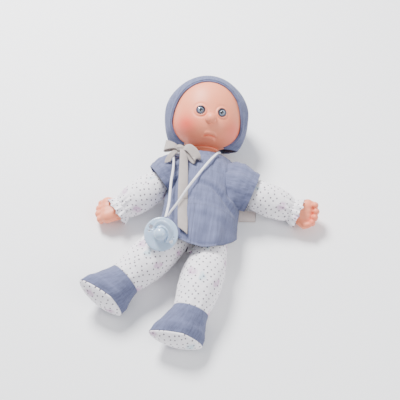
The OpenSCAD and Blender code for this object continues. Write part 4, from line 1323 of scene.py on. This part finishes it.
finish_piece(upper, ribbon_cloth, None, ["ribbon_tail_long"])
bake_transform(upper)
lower = strip("ribbon_tail_lower", route[cut_at:], w[cut_at:], (1, 0.1, -0.28), slant=4.2, curl=0.8)
finish_piece(lower, ribbon_cloth, "torso", [])
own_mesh(lower)

# %% [markdown]
# ## The pacifier
# Shield, knob and magnet housing are one moulding, and the handle is a ring that turns on two studs
# beside the knob. The shield is a lathe shape with a rounded edge and vent holes cut through it. The
# handle is a band swept along a D.

# %% Pacifier frame, shield and knob
PACIFIER_C = np.array([-39, -54, 63.0])
pz = unit([0, -0.45, 0.893])
px = unit(np.array([0, 0.893, 0.45]) - (np.array([0, 0.893, 0.45]) @ pz) * pz)
py = np.cross(pz, px)


def pacifier_place(p):
    p = np.asarray(p, float)
    return PACIFIER_C + p[..., :1] * px + p[..., 1:2] * py + p[..., 2:3] * pz


KNOB_R, KNOB_H = 8.4, 6.2
profile = [(5.2, -5.0), (5.9, -4.6), (6.0, -4.0), (6.1, -1.0), (6.8, -0.2), (12, -0.1), (18.4, 0.1),
           (19.5, 0.4), (20.0, 1.1), (20.0, 1.7), (19.5, 2.4), (18.4, 2.8), (14, 2.7), (9.6, 2.7),
           (8.7, 3.1), (KNOB_R, 4.0), (KNOB_R, KNOB_H)]
profile += [(KNOB_R * math.cos(g), KNOB_H + 8.0 * math.sin(g)) for g in np.radians(range(8, 89, 8))]
P = np.array([[(r_ * math.cos(g), r_ * math.sin(g), h_) for g in once_round(120)] for r_, h_ in profile])
shield = solid_grid("pacifier_shield_moulding", pacifier_place(P))
cutters = bmesh.new()
row_turn = math.radians(-120)
row_cos, row_sin = math.cos(row_turn), math.sin(row_turn)
for side_ in (-1, 1):
    for rad, hx, hy in ((2.5, side_ * 14.6, 0), (1.1, side_ * 13.6, side_ * 5.0)):
        mid_x, mid_y = hx * row_cos - hy * row_sin, hx * row_sin + hy * row_cos
        ends = []
        for h_ in (-2.0, 5.0):
            edge_points = [(mid_x + rad * math.cos(q), mid_y + rad * math.sin(q), h_) for q in once_round(32)]
            ends.append([cutters.verts.new(p_) for p_ in metres(pacifier_place(edge_points))])
        for k in range(32):
            cutters.faces.new((ends[0][k], ends[0][(k + 1) % 32], ends[1][(k + 1) % 32], ends[1][k]))
        cutters.faces.new(ends[0][::-1])
        cutters.faces.new(ends[1])
cutter_mesh = bpy.data.meshes.new("vent cutters")
cutters.to_mesh(cutter_mesh)
cutters.free()
cutter = in_scene("vent cutters", cutter_mesh)
cut_mod = shield.modifiers.new("vents", "BOOLEAN")
cut_mod.object, cut_mod.operation, cut_mod.solver = cutter, "DIFFERENCE", "EXACT"
vented = evaluated_mesh(shield)
shield.modifiers.clear()
shield.data = vented
bpy.data.objects.remove(cutter)
finish_piece(shield, pacifier_plastic, "pacifier", ["pacifier_shield"])

# %% Pacifier handle
HINGE_H, RING_R, REACH, BAND = 5.4, 14.0, 19.0, 5.2
g0, lean = math.radians(-45), math.radians(38)
out_dir = np.array([math.cos(g0) * math.cos(lean), math.sin(g0) * math.cos(lean), math.sin(lean)])
stud_dir = np.array([-math.sin(g0), math.cos(g0), 0])
over = np.cross(out_dir, stud_dir)
half = RING_R - BAND / 2
arc = [(REACH - RING_R + half * math.cos(q), half * math.sin(q)) for q in np.radians(np.linspace(-90, 90, 25))]
outline = [(0, -half + 0.4), (2.5, -half)] + arc + [(2.5, half), (0, half - 0.4)]
hinge = np.array([0, 0, HINGE_H])
path = smooth_route([hinge + u * out_dir + v * stud_dir for u, v in outline], 3)
along = np.gradient(path, axis=0)
wide = np.interp(np.linspace(0, 1, len(path)), [0, 0.12, 0.5, 0.88, 1], [3.4, 5.2, 7.0, 5.2, 3.4])
rings = []
for i, p_ in enumerate(path):
    across = unit(np.cross(over, unit(along[i])))
    rings.append([p_ + across * wide[i] / 2 * np.sign(math.cos(q)) * abs(math.cos(q)) ** 0.7
                  + over * 1.6 * np.sign(math.sin(q)) * abs(math.sin(q)) ** 0.8 for q in once_round(20)])
handle = solid_grid("pacifier_handle", pacifier_place(np.array(rings)))
finish_piece(handle, pacifier_plastic, "pacifier_ring", ["pacifier_ring"])
up, side = np.array([0, 0, 1]), np.cross(stud_dir, [0, 0, 1])
rod = np.array([[hinge + stud_dir * s_ + 1.5 * (math.cos(q) * up + math.sin(q) * side) for q in once_round(24)]
                for s_ in np.linspace(-12.4, 12.4, 12)])
studs = solid_grid("pacifier_studs", pacifier_place(rod))
finish_piece(studs, pacifier_plastic, "pacifier", [])

# %% [markdown]
# ## Collar
# The neckline is bound with a soft roll of the same gauze, turned over the edge and stitched. It is
# a swept tube that follows the neck opening, a little uneven where the gauze bunches.

# %% Collar
COLLAR_R, COLLAR_Z = 22.0, -60.5


def head_way(x, y, z):
    """A direction in the head's frame, turned into the doll's."""
    return unit(head_place(np.array([x, y, z])) - HEAD_C)


rings = []
for g in once_round(160):
    centre = head_place(np.array([COLLAR_R * math.cos(g), COLLAR_R * math.sin(g), COLLAR_Z]))
    bunch = 1 + 0.10 * math.sin(17 * g) * math.sin(5 * g + 1) + 0.06 * math.sin(41 * g)
    rings.append([centre + 3.4 * bunch * math.cos(q) * head_way(math.cos(g), math.sin(g), 0)
                  + 4.6 * math.sin(q) * head_way(0, 0, 1) for q in once_round(18)])
collar = hoop("neck_binding", above_table(np.array(rings), 0.4))
finish_piece(collar, muslin_hem, "torso", [])

# %% [markdown]
# ## Care label
# A small woven label is caught in the side seam. It is one thin sheet that curls a little, and it is
# blank.

# %% Label
LABEL_WIDE, LABEL_TALL = 22.2, 16.4
P = np.array([[[46.8 + LABEL_WIDE * u - 0.6 * v, 9.4 + LABEL_TALL * v + 1.2 * u,
                2.2 + 1.6 * u * u + 0.8 * math.sin(3.0 * u + 1.5 * v)] for u in np.linspace(0, 1, 24)]
              for v in np.linspace(0, 1, 18)])
label = sheet_grid("care_label_sheet", P, grid_normals(P, False), 0.35, closed=False)
finish_piece(label, label_cloth, "torso", ["care_label"])

# %% [markdown]
# ## Stitches
# A running stitch is the same short thread again and again, so a Geometry Nodes tree lays it: it
# measures the line out into even steps, puts one rounded thread on each step, turned along the line,
# and makes the copies real. The stitches are sewn through the hem, so they move with that hem.

# %% A tree that lays stitches along a line
stitch_tree = bpy.data.node_groups.new("running stitch", "GeometryNodeTree")
for socket_name, kind in (("Geometry", "Geometry"), ("Step", "Float"), ("Length", "Float"), ("Thread", "Float"),
                          ("Material", "Material")):
    stitch_tree.interface.new_socket(name=socket_name, in_out="INPUT", socket_type="NodeSocket" + kind)
stitch_tree.interface.new_socket(name="Geometry", in_out="OUTPUT", socket_type="NodeSocketGeometry")
entry, leave = add(stitch_tree, "NodeGroupInput"), add(stitch_tree, "NodeGroupOutput")
line = add(stitch_tree, "GeometryNodeMeshToCurve", {"Mesh": entry.outputs["Geometry"]})
even = add(stitch_tree, "GeometryNodeResampleCurve",
           {"Curve": line.outputs["Curve"], "Length": entry.outputs["Step"]}, mode="LENGTH")
bead = add(stitch_tree, "GeometryNodeMeshUVSphere",
           {"Segments": 8, "Rings": 6, "Radius": entry.outputs["Thread"]})
stretch = add(stitch_tree, "ShaderNodeCombineXYZ", {"X": 1.0, "Y": 1.0, "Z": entry.outputs["Length"]})
one = add(stitch_tree, "GeometryNodeTransform", {"Geometry": bead.outputs["Mesh"], "Scale": stretch.outputs[0]})
along_line = add(stitch_tree, "GeometryNodeInputTangent")
turned_way = add(stitch_tree, "FunctionNodeAlignRotationToVector",
                 {"Vector": along_line.outputs["Tangent"]}, axis="Z")
laid = add(stitch_tree, "GeometryNodeInstanceOnPoints",
           {"Points": even.outputs["Curve"], "Instance": one.outputs["Geometry"],
            "Rotation": turned_way.outputs["Rotation"]})
real = add(stitch_tree, "GeometryNodeRealizeInstances", {"Geometry": laid.outputs["Instances"]})
colored = add(stitch_tree, "GeometryNodeSetMaterial", {"Geometry": real.outputs["Geometry"],
                                                      "Material": entry.outputs["Material"]})
stitch_tree.links.new(colored.outputs["Geometry"], leave.inputs["Geometry"])


STITCH_STEP, STITCH_THICK = 3.0, 0.28


def sew(name, line_points, body):
    """Stitches of one thread along a line of points, as one plain mesh."""
    mesh = bpy.data.meshes.new(name + " line")
    mesh.from_pydata([tuple(p) for p in metres(line_points)],
                     [(i, i + 1) for i in range(len(line_points) - 1)], [])
    path = in_scene(name + " line", mesh)
    layer = path.modifiers.new("stitches", "NODES")
    layer.node_group = stitch_tree
    ids = {item.name: item.identifier for item in stitch_tree.interface.items_tree if item.in_out == "INPUT"}
    layer[ids["Step"]] = STITCH_STEP / 1000
    layer[ids["Length"]] = 0.34 * STITCH_STEP / STITCH_THICK
    layer[ids["Thread"]] = STITCH_THICK / 1000
    layer[ids["Material"]] = thread
    mesh = evaluated_mesh(path)
    bpy.data.objects.remove(path)
    mesh.name = name
    return finish_piece(in_scene(name, mesh), thread, body, [])


# %% Sew the hems
for name, (line_points, (near_end, far_end)) in hem_lines.items():
    sewn = sew(f"stitches_sleeve_{name[4:]}", np.concatenate([line_points, line_points[:1]]), None)
    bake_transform(sewn)
for word, line_points in skirt_lines.items():
    sewn = sew(f"stitches_skirt_{word}", line_points, "torso")
    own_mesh(sewn)
print("sewn:", len(hem_lines) + len(skirt_lines), "rows")

# %% [markdown]
# ## Floor and light
# The doll lies on a plain pale floor. A bright lamp above and behind its head throws soft shadows
# towards the feet, and a weak one at the side opens them up, with an almost white sky.

# %% Floor and light
floor_mesh = bpy.data.meshes.new("floor")
floor_mesh.from_pydata([(-3, -3, 0), (3, -3, 0), (3, 3, 0), (-3, 3, 0)], [], [(0, 1, 2, 3)])
floor_mesh.materials.append(new_finish("pale floor", (0.93, 0.93, 0.94), 0.85)[0])
floor = in_scene("floor", floor_mesh)
world = bpy.data.worlds.new("studio")
bpy.context.scene.world = world
world.use_nodes = True
world.node_tree.nodes["Background"].inputs[0].default_value = (0.93, 0.95, 1.0, 1)
world.node_tree.nodes["Background"].inputs[1].default_value = 0.85


def area_light(name, at, to, size, watts):
    lamp = bpy.data.lights.new(name, "AREA")
    lamp.shape, lamp.size, lamp.energy = "DISK", size, watts
    stand = in_scene(name, lamp)
    stand.location = at
    stand.rotation_euler = (Vector(to) - Vector(at)).to_track_quat("-Z", "Y").to_euler()


area_light("key", (-0.55, 0.75, 1.15), (0, 0, 0.03), 0.5, 60)
area_light("fill", (0.9, -0.5, 0.9), (0, 0, 0.03), 0.9, 10)

print("lamps and floor are in place")
